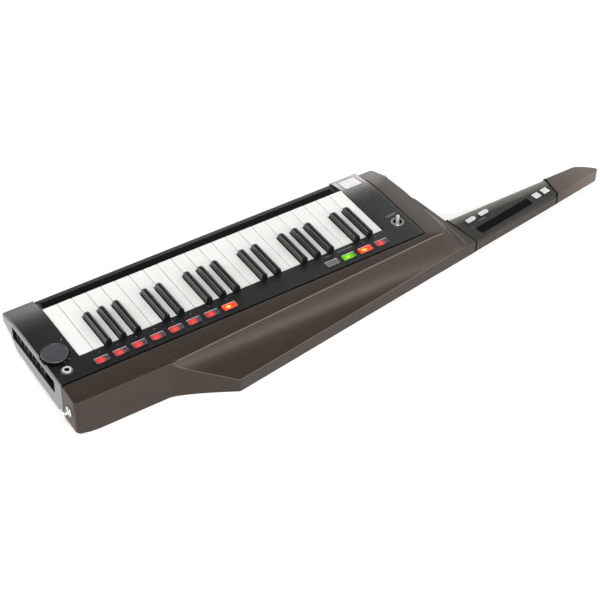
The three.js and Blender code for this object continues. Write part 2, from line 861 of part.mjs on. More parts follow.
function lowerCase() {
  const skin = insideSkin(-caseHalf, caseHalf, topCurve(0)).intersect(raised(casePlan(), 0, lid));
  const hollow = carried(
    [
      [panelNear + caseWall, caseWall],
      ...undersideCurve(caseWall, railEdge),
      [railEdge - caseWall, railTop - railRoof],
      [railStart, railTop - railRoof],
      [railStart, lid],
      [panelNear + caseWall, lid],
    ],
    -caseHalf + caseWall,
    caseHalf - caseWall,
  );
  const openHalf = keysHalf + seamGap + skirtWidth + seatGap;
  const blockStart = keysHalf + seamGap - seatGap;
  const ribbonSeat = block(
    -ribbonHalf - fitGap,
    ribbonHalf + fitGap,
    longRibbonStart - fitGap,
    longRibbonStart + longRibbonWidth + fitGap,
    railTop - ribbonSunk,
    lid,
  );
  const middle = block(-openHalf, openHalf, keyRear, noseEdge + overrun, below, lid);
  const tray = less(
    skin,
    less(hollow, tailCut(caseWall)),
    less(middle, insideSkin(-openHalf, openHalf, railCurve())),
    abovePanelUnderside(-caseHalf - overrun, caseHalf + overrun).intersect(
      joined(
        block(-caseHalf - overrun, -blockStart, panelNear - overrun, noseEdge + overrun, below, lid),
        block(blockStart, caseHalf + overrun, panelNear - overrun, noseEdge + overrun, below, lid),
        block(-caseHalf, caseHalf, panelNear - overrun, keyRear, below, lid),
      ),
    ),
    rod(knobRadius + cupGap + cupFloor + fitGap, knobX, knobY, knobSeat - cupFloor - seatGap, lid),
    block(-caseHalf - overrun, -caseHalf + overrun, slotNear, slotFar, slotLow, slotHigh),
    ribbonSeat,
    tailCut(0),
  );
  return joined(tray, ...bosses(mainBossPlaces, mainBossRadius, caseWall / 2, mainBoardLow - seatGap));
}

piece("lower_case", lowerCase(), darkPlastic, caseGroup);
piece(
  "long_ribbon",
  block(
    -ribbonHalf,
    ribbonHalf,
    longRibbonStart,
    longRibbonStart + longRibbonWidth,
    railTop - ribbonSunk + seatGap,
    railTop - ribbonSunk + longRibbonThickness,
  ),
  ribbonFilm,
  caseGroup,
);

// Keys: hollow mouldings that turn on their rear tabs, which rest on the chassis rail
const blackEdge = blackWidth / 2 + keyGap;
const notchFront = keyRear + blackVisible + keyGap;

function tab() {
  return block(-tabWidth / 2, tabWidth / 2, tabRear, keyRear + keyWall, tabBottom, tabTop);
}

function whiteKeySolid(notchLeft, notchRight) {
  const half = (whitePitch - keyGap) / 2;
  const rearHalf = whitePitch / 2 - blackEdge;
  const left = notchLeft ? -rearHalf : -half;
  const right = notchRight ? rearHalf : half;
  const ceiling = keyTop - keyWall;
  return less(
    joined(
      block(-half, half, notchFront, keyFront, keyBottom, keyTop),
      block(left, right, keyRear, notchFront + keyWall, keyBottom, keyTop),
      tab(),
    ),
    block(-half + keyWall, half - keyWall, notchFront + keyWall, keyFront - keyWall, below, ceiling),
    block(left + keyWall, right - keyWall, keyRear + keyWall, notchFront + 2 * keyWall, below, ceiling),
  );
}

function blackKeySolid() {
  const low = keyBottom + keyWall / 2;
  const half = blackWidth / 2;
  const topHalf = blackTopWidth / 2;
  const ring = (y, top) => {
    const side = blackShoulderShares.map(([wide, high]) => {
      const reach = half + (1 - wide) * (topHalf - half) * 2;
      return [Math.min(half, reach), keyTop + high * (top - keyTop)];
    });
    const right = [[half, low], ...side];
    const left = right.map(([x, z]) => [-x, z]).reverse();
    return [...right, ...left].map(([x, z]) => new THREE.Vector3(x, y, z));
  };
  const top = keyTop + blackRise;
  const tip = keyRear + blackVisible;
  const body = lofted([
    ring(keyRear, top),
    ring(tip - blackNoseLength, top),
    ring(tip - blackNoseLength / 2, top - blackRise * blackNoseFallShare),
    ring(tip, keyTop + blackRise * blackNoseFallShare),
  ]);
  const pocket = block(
    -half + keyWall,
    half - keyWall,
    keyRear + keyWall,
    tip - blackNoseLength,
    below,
    keyTop + keyWall,
  );
  return less(joined(body, tab()), pocket);
}

const keyGroup = new THREE.Group();
caseGroup.add(keyGroup);

for (let number = 1; number <= whiteCount; number += 1) {
  const notches = [number - 1, number].map((n) => whitesLeftOfBlackCounts.includes(n));
  const name = `white_key_${String(number).padStart(2, "0")}`;
  const key = piece(name, whiteKeySolid(...notches), whiteKey, keyGroup);
  key.position.x = -keysHalf + (number - 1 / 2) * whitePitch;
}

whitesLeftOfBlackCounts.forEach((number, index) => {
  const name = `black_key_${String(index + 1).padStart(2, "0")}`;
  const key = piece(name, blackKeySolid(), blackKey, keyGroup);
  key.position.x = -keysHalf + number * whitePitch;
});

// Button mats: the caps of each row stand on one strip of rubber
function buttonMat(start, count) {
  const solids = [];
  const first = start - capLength / 2;
  const last = start + (count - 1) * capPitch + capLength / 2;
  solids.push(block(first, last, capY - matWidth / 2, capY + matWidth / 2, matBottom, matTop));
  for (let i = 0; i < count; i += 1) {
    const x = start + i * capPitch;
    const [x0, x1] = [x - capLength / 2, x + capLength / 2];
    solids.push(block(x0, x1, capY - capWidth / 2, capY + capWidth / 2, matBottom, panelTop + capRise));
  }
  return joined(...solids);
}

piece("program_buttons", buttonMat(programStart, programCount), redRubber, caseGroup);
piece("function_buttons", buttonMat(functionStart, functionCount), greenRubber, caseGroup);

// Switch board: the tactile switches under the two mats
function switchBoard() {
  const end = functionStart + (functionCount - 1) * capPitch + capLength / 2;
  const start = programStart - capLength / 2;
  const half = switchBoardDepth / 2;
  const solids = [block(start, end, capY - half, capY + half, switchBoardLow, switchBoardTop)];
  const rows = [
    [programStart, programCount],
    [functionStart, functionCount],
  ];
  for (const [first, count] of rows) {
    for (let i = 0; i < count; i += 1) {
      const x = first + i * capPitch;
      const reach = switchSize / 2;
      solids.push(block(x - reach, x + reach, capY - reach, capY + reach, switchBoardLow, switchTop));
    }
  }
  return joined(...solids);
}

piece("switch_board", switchBoard(), board, caseGroup);

// Key chassis: a plate with the pivot rail, the front stop rail and the switch board's ledge
function keyChassis() {
  const half = keysHalf - chassisEndGap;
  const footX = half - chassisFootInset;
  const top = chassisLow + chassisPlate;
  const stopTop = keyBottom - keyDip - seatGap;
  const footPlaces = [-footX, 0, footX].flatMap((x) => [
    [x, chassisFootRearY],
    [x, chassisFootFrontY],
  ]);
  const ledgeFront = capY + switchBoardDepth / 2;
  return joined(
    block(-half, half, chassisRear, chassisFront, chassisLow, top),
    block(-half, half, chassisFront - frontRailWidth, chassisFront, chassisLow, stopTop),
    block(-half, half, ledgeFront + seatGap, pivotY + pivotInset, chassisLow, tabBottom - seatGap),
    block(-half, half, chassisRear, ledgeFront + seatGap, chassisLow, switchBoardLow - seatGap),
    ...bosses(footPlaces, chassisFootRadius, caseWall + seatGap, chassisLow + chassisPlate / 2),
  );
}

piece("key_chassis", keyChassis(), darkPlastic, caseGroup);

// Main board: a plate with its larger chips, carried on the tray's bosses
function mainBoard() {
  const [y0, y1] = [mainBoardY - mainBoardWidth / 2, mainBoardY + mainBoardWidth / 2];
  const plate = block(-mainBoardLength / 2, mainBoardLength / 2, y0, y1, mainBoardLow, mainBoardTop);
  const chips = chipShares.map((share) => {
    const x = share * mainBoardLength;
    const reach = chipSize / 2;
    const chipTop = mainBoardTop + chipHeight;
    return block(x - reach, x + reach, mainBoardY - reach, mainBoardY + reach, mainBoardLow, chipTop);
  });
  return joined(plate, ...chips);
}

piece("main_board", mainBoard(), board, caseGroup);

// Side board: the sockets behind the slot, and the body of the volume control
const socketFaceX = -caseHalf + caseWall + seatGap;

function socketPlaces() {
  return Array.from({ length: socketCount }, (_, i) => socketFirstY - i * socketPitch);
}

function sideBoard() {
  const top = sideBoardLow + boardThickness;
  const bodyTop = top + socketHeight;
  const boardX0 = socketFaceX + fitGap;
  const boardY1 = slotFar - fitGap;
  const solids = [
    block(boardX0, boardX0 + sideBoardLength, boardY1 - sideBoardDepth, boardY1, sideBoardLow, top),
  ];
  for (const y of socketPlaces()) {
    const reach = socketWidth / 2;
    solids.push(block(socketFaceX, socketFaceX + socketDepth, y - reach, y + reach, sideBoardLow, bodyTop));
  }
  const potBottom = knobSeat - cupFloor - knobShaftLength + seatGap;
  solids.push(rod(potRadius, knobX, knobY, sideBoardLow, potBottom + knobShaftLength - seatGap * 2));
  const legX0 = -caseHalf + tailCutLength + caseWall + legRadius;
  const legX1 = boardX0 + sideBoardLength - legRadius;
  const legY0 = boardY1 - sideBoardDepth + legRadius;
  const legY1 = bevelStart - 2 * legRadius;
  const legs = [
    [legX0, legY0],
    [legX0, legY1],
    [legX1, legY0],
    [legX1, legY1],
  ];
  solids.push(...bosses(legs, legRadius, caseWall + seatGap, sideBoardLow + boardThickness / 2));
  const socketZ = top + socketHeight / 2;
  const boreEnd = socketFaceX + socketDepth - caseWall;
  const [portY, portZ] = [portWidth / 2, portHeight / 2];
  const bores = socketPlaces().map((y, i) =>
    i === portPlace
      ? block(-caseHalf, boreEnd, y - portY, y + portY, socketZ - portZ, socketZ + portZ)
      : crossRod(socketBore, -caseHalf, boreEnd, y, socketZ, roundSides / 2),
  );
  const shaftHole = rod(knobShaftRadius + fitGap, knobX, knobY, knobSeat - knobShaftLength - seatGap, lid);
  return less(joined(...solids), ...bores, shaftHole);
}

piece("side_board", sideBoard(), board, caseGroup);

// Volume knob with its shaft
const knobGroup = new THREE.Group();
knobGroup.position.set(knobX, knobY, knobSeat);
caseGroup.add(knobGroup);
piece(
  "volume_knob",
  turned([
    [0, -knobShaftLength],
    [knobShaftRadius, -knobShaftLength],
    [knobShaftRadius, seatGap],
    [knobRadius, seatGap],
    [knobRadius, knobHeight - knobEdge],
    [knobRadius - knobEdge, knobHeight],
    [0, knobHeight],
  ], roundSides * 2),
  blackPlastic,
  knobGroup,
);

// Phones socket: body under the panel, threaded neck through it, nut on top
const phonesGroup = new THREE.Group();
phonesGroup.position.set(phonesX, phonesY, panelTop);
caseGroup.add(phonesGroup);
const phonesUnder = -panelThickness - seatGap;
piece(
  "phones_socket",
  turned([
    [0, phonesUnder - phonesBodyLength],
    [phonesBodyRadius, phonesUnder - phonesBodyLength],
    [phonesBodyRadius, phonesUnder],
    [phonesNeckRadius, phonesUnder],
    [phonesNeckRadius, seatGap],
    [phonesNutRadius, seatGap],
    [phonesNutRadius, phonesNutHeight],
    [phonesBore, phonesNutHeight],
    [phonesBore, phonesUnder - phonesBodyLength + caseWall],
    [0, phonesUnder - phonesBodyLength + caseWall],
  ]),
  chrome,
  phonesGroup,
);

// Toggle switch: a ring and neck in the panel, and a lever on a ball inside it
const toggleGroup = new THREE.Group();
toggleGroup.position.set(toggleX, toggleY, panelTop);
caseGroup.add(toggleGroup);
const ballZ = toggleRingHeight - toggleBallRadius;
const socketFloor = ballZ - toggleBallRadius - seatGap;
piece(
  "toggle_bushing",
  turned([
    [0, -toggleBodyLength],
    [toggleNeckRadius, -toggleBodyLength],
    [toggleNeckRadius, seatGap],
    [toggleRingRadius, seatGap],
    [toggleRingRadius, toggleRingHeight],
    [toggleHole, toggleRingHeight],
    [toggleHole, socketFloor],
    [0, socketFloor],
  ]),
  chrome,
  toggleGroup,
);

function toggleLever() {
  const profile = [[0, ballZ - toggleBallRadius]];
  const neckAngle = Math.acos(toggleLeverRadius / toggleBallRadius);
  for (let step = 1; step <= ballSteps; step += 1) {
    const angle = -Math.PI / 2 + ((Math.PI / 2 + neckAngle) * step) / ballSteps;
    profile.push([toggleBallRadius * Math.cos(angle), ballZ + toggleBallRadius * Math.sin(angle)]);
  }
  const top = toggleRingHeight + toggleLeverLength;
  profile.push([toggleLeverRadius, top - toggleLeverRadius / 2], [toggleLeverRadius / 2, top], [0, top]);
  return turned(profile, roundSides / 2);
}

piece("toggle_lever", toggleLever(), chrome, toggleGroup);

// Strap pins: each points out along X
const pinProfile = [
  [0, seatGap],
  [pinFlangeRadius, seatGap],
  [pinFlangeRadius, pinFlangeLength],
  [pinNeckRadius, pinFlangeLength + pinNeckRadius / 2],
  [pinNeckRadius, pinLength - pinHeadLength - pinNeckRadius / 2],
  [pinHeadRadius, pinLength - pinHeadLength],
  [pinHeadRadius, pinLength],
  [0, pinLength],
];

function strapPin(name, x, y, z, side) {
  const pin = piece(name, turned(pinProfile), chrome);
  pin.position.set(x, y, z);
  pin.rotation.y = (side * Math.PI) / 2;
}

strapPin("tail_strap_pin", -caseHalf, tailPinY, tailPinZ, -1);
strapPin("shoulder_strap_pin", shoulderPinX, shoulderPinY, shoulderPinZ, 1);

export default keytar;
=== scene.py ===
# A keytar on a pale floor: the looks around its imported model.
import json
import math

import bmesh
import bpy
from mathutils import Matrix, Vector
from mathutils.kdtree import KDTree


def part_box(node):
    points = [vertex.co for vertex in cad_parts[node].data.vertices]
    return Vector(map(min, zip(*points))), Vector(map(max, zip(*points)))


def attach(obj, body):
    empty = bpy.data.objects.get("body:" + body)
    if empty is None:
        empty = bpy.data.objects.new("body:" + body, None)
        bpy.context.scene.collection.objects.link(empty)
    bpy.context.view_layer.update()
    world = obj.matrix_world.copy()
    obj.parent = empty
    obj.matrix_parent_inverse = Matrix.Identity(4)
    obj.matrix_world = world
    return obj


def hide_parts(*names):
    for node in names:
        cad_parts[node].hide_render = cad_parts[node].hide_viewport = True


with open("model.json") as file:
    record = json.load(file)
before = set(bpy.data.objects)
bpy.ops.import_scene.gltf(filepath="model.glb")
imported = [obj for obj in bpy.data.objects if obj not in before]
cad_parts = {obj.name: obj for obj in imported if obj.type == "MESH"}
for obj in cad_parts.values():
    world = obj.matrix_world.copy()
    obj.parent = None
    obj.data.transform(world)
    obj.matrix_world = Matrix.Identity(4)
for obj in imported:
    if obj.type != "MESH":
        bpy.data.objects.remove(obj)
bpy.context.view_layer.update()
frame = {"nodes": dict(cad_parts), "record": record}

# Lengths are in millimetres, and become metres as each mesh is made.
MM = 0.001


def span(node):
    """Lowest and highest corner of a CAD node, in millimetres."""
    low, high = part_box(node)
    return Vector(low) / MM, Vector(high) / MM


def middle(low, high):
    """Middle of a box in plan."""
    return (low.x + high.x) / 2, (low.y + high.y) / 2


# Places taken from the frame
PANEL_LOW, PANEL_HIGH = span("top_panel")
WOOD_HIGH = span("wood_body")[1]
NECK_HIGH = span("neck_panel")[1]
CASE_END = PANEL_HIGH.x
PANEL_NEAR = PANEL_LOW.y
PANEL_FAR = PANEL_HIGH.y
PANEL_TOP = PANEL_HIGH.z
KNOB_LOW, KNOB_HIGH = span("volume_knob")
PHONES_LOW, PHONES_HIGH = span("phones_socket")
TOGGLE_LOW, TOGGLE_HIGH = span("toggle_bushing")
PROGRAM_LOW, PROGRAM_HIGH = span("program_buttons")
FUNCTION_LOW = span("function_buttons")[0]
WINDOW_LOW, WINDOW_HIGH = span("display_window")

# Shape of the case top, seen from the end
FALL_START = 8.0
FALL_END = 69.5
FALL_POWER = 2.38
FALL_STEPS = 26
PANEL_END_FALL = 6.4
PANEL_LAST_FALL = 12.5
PANEL_THICKNESS = 3.0
KEYS_HALF = 220.0
KEYS_REAR = -48.0
SEAM_GAP = 0.4
SKIRT_WIDTH = 2.4
SKIRT_LOW = 48.3

# Shape of the wooden body
WOOD_FAR = 74.5
WOOD_END_FALL = 10.0
WOOD_LAST_FALL = 16.0
WOOD_GAP = 1.5
SEAM_NEAR = PANEL_NEAR - WOOD_GAP
SEAM_RIGHT = CASE_END + WOOD_GAP
BODY_NEAR = -114.0
FRONT_LEAN = 2.4
PLATEAU_HEIGHT = 56.5
RIDGE_HEIGHT = 53.5
PLANK_HEIGHT = 19.0
WING_ROOT = -140.0
WING_BEND = 15.0
WING_TIP = Vector((-60.0, -152.0))
PLANK_SLOPE = math.tan(math.radians(7.95))
RIDGE_SLOPE = math.tan(math.radians(3.1))
RIDGE_CORNER_X = 280.5
RIDGE_CORNER_ROUND = 12.0
RIDGE_LEAN_SLOPE = -1.0 / 177.0
CROWN_SLOPE = 0.1
FLANK_WIDTH = 30.0
SLOPE_WIDTH = 13.0
FOOT_SHARES = (0.52, 1.0, 0.25)
HOLLOW_REACHES = (6.5, 12.0, 3.5)
FOOT_BLENDS = (0.0, 5.0, 3.0)
FOOT_BLEND = FOOT_BLENDS[1]
FLANK_FAR_START = -50.0
FLANK_FAR_END = 60.0
TAIL_ROUND = 5.0
TAIL_CUT_LENGTH = 22.0
TAIL_CUT_NEAR = 5.0
TAIL_CUT_NEAR_Y = -134.0
TAIL_CUT_GROWTH = 10.0 / 231.0
FAR_CORNER_ROUND = 6.0
FLANK_BOW = 7.0
UNDERSIDE = [(22.0, 0.0), (39.0, 11.6), (56.0, 29.0), (74.5, 38.5)]
EDGE_ROUND = 1.2

# Shape of the neck and head
NECK_FAR = NECK_HIGH.y
NECK_FLOOR = 14.0
FLANGE = [(329.0, -41.0), (322.0, 16.0), (309.0, 52.0)]
BODY_GROOVE = (331.5, 8.0)
HEAD_GROOVE = (496.5, -8.0)
HEAD_TURN_X = 549.0
HEAD_TIP_X = WOOD_HIGH.x
HEAD_TIP_ROUND = 3.0
HEAD_TURN_SHARE = 0.6
HEAD_FALL_SHARE = 0.3


def smooth_min(a, b, reach):
    """The smaller of two heights, rounded where they cross."""
    near = max(reach - abs(a - b), 0.0) / reach
    return min(a, b) - near * near * reach / 4


def mixed(a, b, share):
    return a + (b - a) * share


def clamped(share):
    return min(max(share, 0.0), 1.0)


def quarter_turn(steps):
    """Angles from 0 to 90 degrees."""
    return [math.pi / 2 * i / steps for i in range(steps + 1)]


def plank_edge(x):
    return WING_TIP.y + (x - WING_TIP.x) * PLANK_SLOPE


def ridge_y(x):
    return BODY_NEAR + max(0.0, x - WING_ROOT) * RIDGE_SLOPE


def bezier(start, control, end, steps):
    """Points after start on a curve to end that leans toward control."""
    shares = [i / steps for i in range(1, steps + 1)]
    return [start.lerp(control, share).lerp(control.lerp(end, share), share) for share in shares]


# Meshes: made from points in millimetres
WELD_DISTANCE = 0.002
SAME_PLACE = 0.01
ROD_STEPS = 72
CORNER_STEPS = 6
SHARP_ANGLE = 30.0


def add_object(name, mesh):
    piece = bpy.data.objects.new(name, mesh)
    bpy.context.scene.collection.objects.link(piece)
    return piece


def from_points(name, points, faces):
    mesh = bpy.data.meshes.new(name)
    mesh.from_pydata([Vector(point) * MM for point in points], [], faces)
    shape = bmesh.new()
    shape.from_mesh(mesh)
    bmesh.ops.remove_doubles(shape, verts=shape.verts, dist=WELD_DISTANCE * MM)
    bmesh.ops.recalc_face_normals(shape, faces=shape.faces)
    shape.to_mesh(mesh)
    shape.free()
    return add_object(name, mesh)


def lofted(name, rings):
    """A closed skin over rings of points; every ring has as many points as the next."""
    count = len(rings[0])
    faces = []
    for ring in range(len(rings) - 1):
        for i in range(count):
            a = ring * count + i
            b = ring * count + (i + 1) % count
            faces.append((a, b, b + count, a + count))
    last = (len(rings) - 1) * count
    faces.append(tuple(range(count)))
    faces.append(tuple(range(last + count - 1, last - 1, -1)))
    return from_points(name, [point for ring in rings for point in ring], faces)


def prism(name, outline, low, high):
    """A plan outline of (x, y) raised from one height to another."""
    return lofted(name, [[(x, y, low) for x, y in outline], [(x, y, high) for x, y in outline]])


def carried(name, profile, x0, x1):
    """A profile of (y, z) carried along X."""
    return lofted(name, [[(x0, y, z) for y, z in profile], [(x1, y, z) for y, z in profile]])


def box(name, x0, x1, y0, y1, z0, z1):
    return prism(name, [(x0, y0), (x1, y0), (x1, y1), (x0, y1)], z0, z1)


def turned(name, profile, center, axis="Z", steps=64, flutes=0, depth=0.0, angle=40.0):
    """A piece turned from a profile of (radius, height, fluted share) about an axis through its center."""
    points = []
    faces = []
    count = len(profile)
    for i in range(steps):
        way = 2 * math.pi * i / steps
        groove = depth * (0.5 + 0.5 * math.cos(flutes * way))
        for radius, height, *fluted in profile:
            r = radius - (groove * fluted[0] if fluted else 0.0)
            a, b = r * math.cos(way), r * math.sin(way)
            points.append(Vector(center) + Vector((a, b, height) if axis == "Z" else (height, a, b)))
        j = (i + 1) % steps
        for k in range(count - 1):
            faces.append((i * count + k, j * count + k, j * count + k + 1, i * count + k + 1))
    return shaded(from_points(name, points, faces), angle)


def around(radius, level, offsets):
    """A stretch of such a profile, given by its distances from one radius and one level."""
    return [(radius + out, level + up, *fluted) for out, up, *fluted in offsets]


def rod(name, radius, x, y, z0, z1):
    circle = [2 * math.pi * i / ROD_STEPS for i in range(ROD_STEPS)]
    return prism(name, [(x + radius * math.cos(a), y + radius * math.sin(a)) for a in circle], z0, z1)


def rounded_outline(length, width, corner):
    """A rectangle of (x, y) with rounded corners, about the origin."""
    points = []
    for side_x, side_y, start in ((1, 1, 0), (-1, 1, 1), (-1, -1, 2), (1, -1, 3)):
        for i in range(CORNER_STEPS + 1):
            angle = math.pi / 2 * (start + i / CORNER_STEPS)
            x = side_x * (length / 2 - corner) + corner * math.cos(angle)
            points.append((x, side_y * (width / 2 - corner) + corner * math.sin(angle)))
    return points


def slab(name, length, width, low, high, corner, place, tilt=0.0, edge=0.0):
    """A rounded plate between two heights, turned by a tilt about X and moved to its place."""
    outline = rounded_outline(length, width, corner)
    rings = [[(x, y, low) for x, y in outline]]
    for angle in quarter_turn(4) if edge else [0.0]:
        inset = edge * (1 - math.cos(angle))
        shrink_x = 1 - 2 * inset / length
        shrink_y = 1 - 2 * inset / width
        level = high - edge * (1 - math.sin(angle))
        rings.append([(x * shrink_x, y * shrink_y, level) for x, y in outline])
    turn = Matrix.Translation(Vector(place)) @ Matrix.Rotation(-tilt, 4, "X")
    return lofted(name, [[turn @ Vector(point) for point in ring] for ring in rings])


def settle(piece):
    """Makes the piece's mesh what its modifiers make of it."""
    evaluated = piece.evaluated_get(bpy.context.evaluated_depsgraph_get())
    mesh = bpy.data.meshes.new_from_object(evaluated)
    piece.modifiers.clear()
    piece.data = mesh


def combine(piece, tools, operation):
    for tool in tools:
        modifier = piece.modifiers.new(operation, "BOOLEAN")
        modifier.operation = operation
        modifier.solver = "EXACT"
        modifier.object = tool
    settle(piece)
    for tool in tools:
        bpy.data.objects.remove(tool)
    return piece


def cut(piece, *tools):
    return combine(piece, tools, "DIFFERENCE")


def join(piece, *tools):
    return combine(piece, tools, "UNION")


def tidied(piece, angle=1.0):
    """Joins the mesh's split corners and its level faces."""
    shape = bmesh.new()
    shape.from_mesh(piece.data)
    bmesh.ops.remove_doubles(shape, verts=shape.verts, dist=SAME_PLACE * MM)
    if angle:
        level = {"angle_limit": math.radians(angle), "use_dissolve_boundaries": False}
        bmesh.ops.dissolve_limit(shape, verts=shape.verts, edges=shape.edges, **level)
    shape.to_mesh(piece.data)
    shape.free()
    return piece


def softened(piece, width, segments=3):
    """Rounds the sharp edges a little and shades the faces smooth between them."""
    bevel = piece.modifiers.new("rounded_edges", "BEVEL")
    bevel.width = width * MM
    bevel.segments = segments
    bevel.limit_method = "ANGLE"
    bevel.angle_limit = math.radians(SHARP_ANGLE)
    bevel.miter_outer = "MITER_ARC"
    settle(piece)
    return shaded(piece)


def shaded(piece, angle=40.0):
    mesh = piece.data
    mesh.shade_smooth()
    mesh.set_sharp_from_angle(angle=math.radians(angle))
    weighted = piece.modifiers.new("even_shading", "WEIGHTED_NORMAL")
    weighted.keep_sharp = True
    settle(piece)
    return piece


def copied(name, node, angle):
    """A copy of a CAD node's mesh, to be worked on."""
    return tidied(add_object(name, frame["nodes"][node].data.copy()), angle)


def placed(piece, body, slot, *nodes, finish=None):
    """Gives a piece its body and its finish, the slot's finish unless another is named, and hides the CAD
    nodes that it stands for.
    """
    piece.data.materials.clear()
    piece.data.materials.append(FINISHES[finish or slot])
    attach(piece, body)
    if nodes:
        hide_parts(*nodes)


# Colours and materials
def srgb(red, green, blue):
    """A colour as seen, 0 to 255, as the linear colour that a shader takes."""
    def linear(value):
        share = value / 255
        return share / 12.92 if share <= 0.04045 else ((share + 0.055) / 1.055) ** 2.4
    return (linear(red), linear(green), linear(blue), 1.0)


def grey(level):
    return (level, level, level, 1.0)


FINE_GRAIN = 900.0
GRAIN_DEPTH = 0.0001
PORE_DEPTH = 0.00008
WOOD_DARK = srgb(46, 37, 32)
WOOD_LIGHT = srgb(54, 44, 39)
# Paler wood tone, painted along the ridge and edges as a highlight
WOOD_HIGHLIGHT = srgb(104, 91, 87)
CLOUD_DARK = srgb(232, 228, 226)
CLOUD_LIGHT = srgb(255, 252, 250)
WARM_GLOSS = (1.0, 0.93, 0.86, 1.0)
# Pale line painted along each cap's far edge as a highlight
CAP_HIGHLIGHT = srgb(196, 178, 180)
CAP_HIGHLIGHT_BLEND = 0.3


class Nodes:
    """A short way to add shader nodes and links to one material."""

    def __init__(self, tree):
        self.tree = tree
        self.shader = tree.nodes.get("Principled BSDF")

    def add(self, kind, **settings):
        node = self.tree.nodes.new(kind)
        for name, value in settings.items():
            if name in node.inputs:
                self.feed(node.inputs[name], value)
            else:
                setattr(node, name, value)
        return node

    def feed(self, socket, value):
        if isinstance(value, bpy.types.NodeSocket):
            self.tree.links.new(value, socket)
        else:
            socket.default_value = value

    def shade(self, **values):
        """Feeds the shader's inputs by name, with an underline for each space."""
        for name, value in values.items():
            self.feed(self.shader.inputs[name.replace("_", " ")], value)

    def feed_all(self, node, *values):
        """Fills a node's first inputs in their order."""
        for socket, value in zip(node.inputs, values):
            self.feed(socket, value)
        return node.outputs[0]

    def place(self, kind="Object"):
        return self.add("ShaderNodeTexCoord").outputs[kind]

    def along(self, place, axis):
        return self.add("ShaderNodeSeparateXYZ", Vector=place).outputs[axis]

    def noise(self, place, scale, detail, stretch=(1.0, 1.0, 1.0), distortion=0.0):
        mapping = self.add("ShaderNodeMapping", Vector=place, Scale=stretch)
        settings = {"Scale": scale, "Detail": detail, "Distortion": distortion}
        return self.add("ShaderNodeTexNoise", Vector=mapping.outputs["Vector"], **settings).outputs["Fac"]

    def ramp(self, value, stops):
        node = self.add("ShaderNodeValToRGB", Fac=value)
        elements = node.color_ramp.elements
        while len(elements) < len(stops):
            elements.new(0.5)
        for element, (position, color) in zip(elements, stops):
            element.position = position
            element.color = color
        return node.outputs["Color"]

    def ranged(self, value, low, high, from_low=0.3, from_high=0.7):
        limits = {"From Min": from_low, "From Max": from_high, "To Min": low, "To Max": high}
        return self.add("ShaderNodeMapRange", Value=value, **limits).outputs["Result"]

    def calculated(self, operation, first, second):
        return self.feed_all(self.add("ShaderNodeMath", operation=operation), first, second)

    def mix(self, share, first, second, way="MIX"):
        node = self.add("ShaderNodeMix", data_type="RGBA", blend_type=way)
        self.feed(node.inputs["Factor"], share)
        self.feed(node.inputs[6], first)
        self.feed(node.inputs[7], second)
        return node.outputs[2]

    def bump(self, height, strength, distance):
        node = self.add("ShaderNodeBump", Height=height, Strength=strength, Distance=distance)
        return node.outputs["Normal"]


def new_finish(name):
    finish = bpy.data.materials.new(name)
    finish.use_nodes = True
    return finish, Nodes(finish.node_tree)


def surface(name, dark, light, scale, rough, bump, **others):
    """A material whose colour and roughness vary a little, with a fine grain in relief."""
    finish, nodes = new_finish(name)
    place = nodes.place()
    broad = nodes.noise(place, scale, 4.0)
    fine = nodes.noise(place, FINE_GRAIN, 2.0)
    tone = nodes.ramp(broad, [(0.32, srgb(*dark)), (0.68, srgb(*light))])
    nodes.shade(Base_Color=tone, Roughness=nodes.ranged(broad, *rough))
    nodes.shade(Normal=nodes.bump(fine, bump, GRAIN_DEPTH), **others)
    return finish


def painted_light_blend(name, axis, start, end, tone):
    """Paints light into a finish: blends its colour toward a second tone along one axis of the model."""
    nodes = Nodes(FINISHES[name].node_tree)
    first = nodes.shader.inputs["Base Color"].links[0].from_socket
    share = nodes.ranged(nodes.along(nodes.place(), axis), 0.0, 1.0, start * MM, end * MM)
    nodes.shade(Base_Color=nodes.mix(share, first, srgb(*tone)))


def wood_finish():
    """Dark brown wood with a long fine grain, and a paler tone painted along its ridge and edges as a
    highlight.
    """
    finish, nodes = new_finish("dark_wood")
    place = nodes.place()
    clouds = nodes.noise(place, 9.0, 3.0, (0.6, 3.0, 3.0))
    figure = nodes.noise(place, 60.0, 6.0, (0.3, 7.0, 7.0), 0.4)
    pores = nodes.noise(place, 260.0, 2.0, (0.1, 6.0, 6.0))
    # Painted highlight: the marked ridge and edge vertices take the paler tone
    painted_highlight = nodes.add("ShaderNodeAttribute", attribute_name="painted_highlight").outputs["Fac"]
    base = nodes.mix(painted_highlight, nodes.ramp(figure, [(0.3, WOOD_DARK), (0.7, WOOD_LIGHT)]), WOOD_HIGHLIGHT)
    shade = nodes.ramp(clouds, [(0.3, CLOUD_DARK), (0.7, CLOUD_LIGHT)])
    nodes.shade(Base_Color=nodes.mix(1.0, base, shade, "MULTIPLY"))
    nodes.shade(Roughness=nodes.ranged(pores, 0.34, 0.46), Normal=nodes.bump(pores, 0.15, PORE_DEPTH))
    nodes.shade(Specular_Tint=WARM_GLOSS, Specular_IOR_Level=0.42)
    return finish


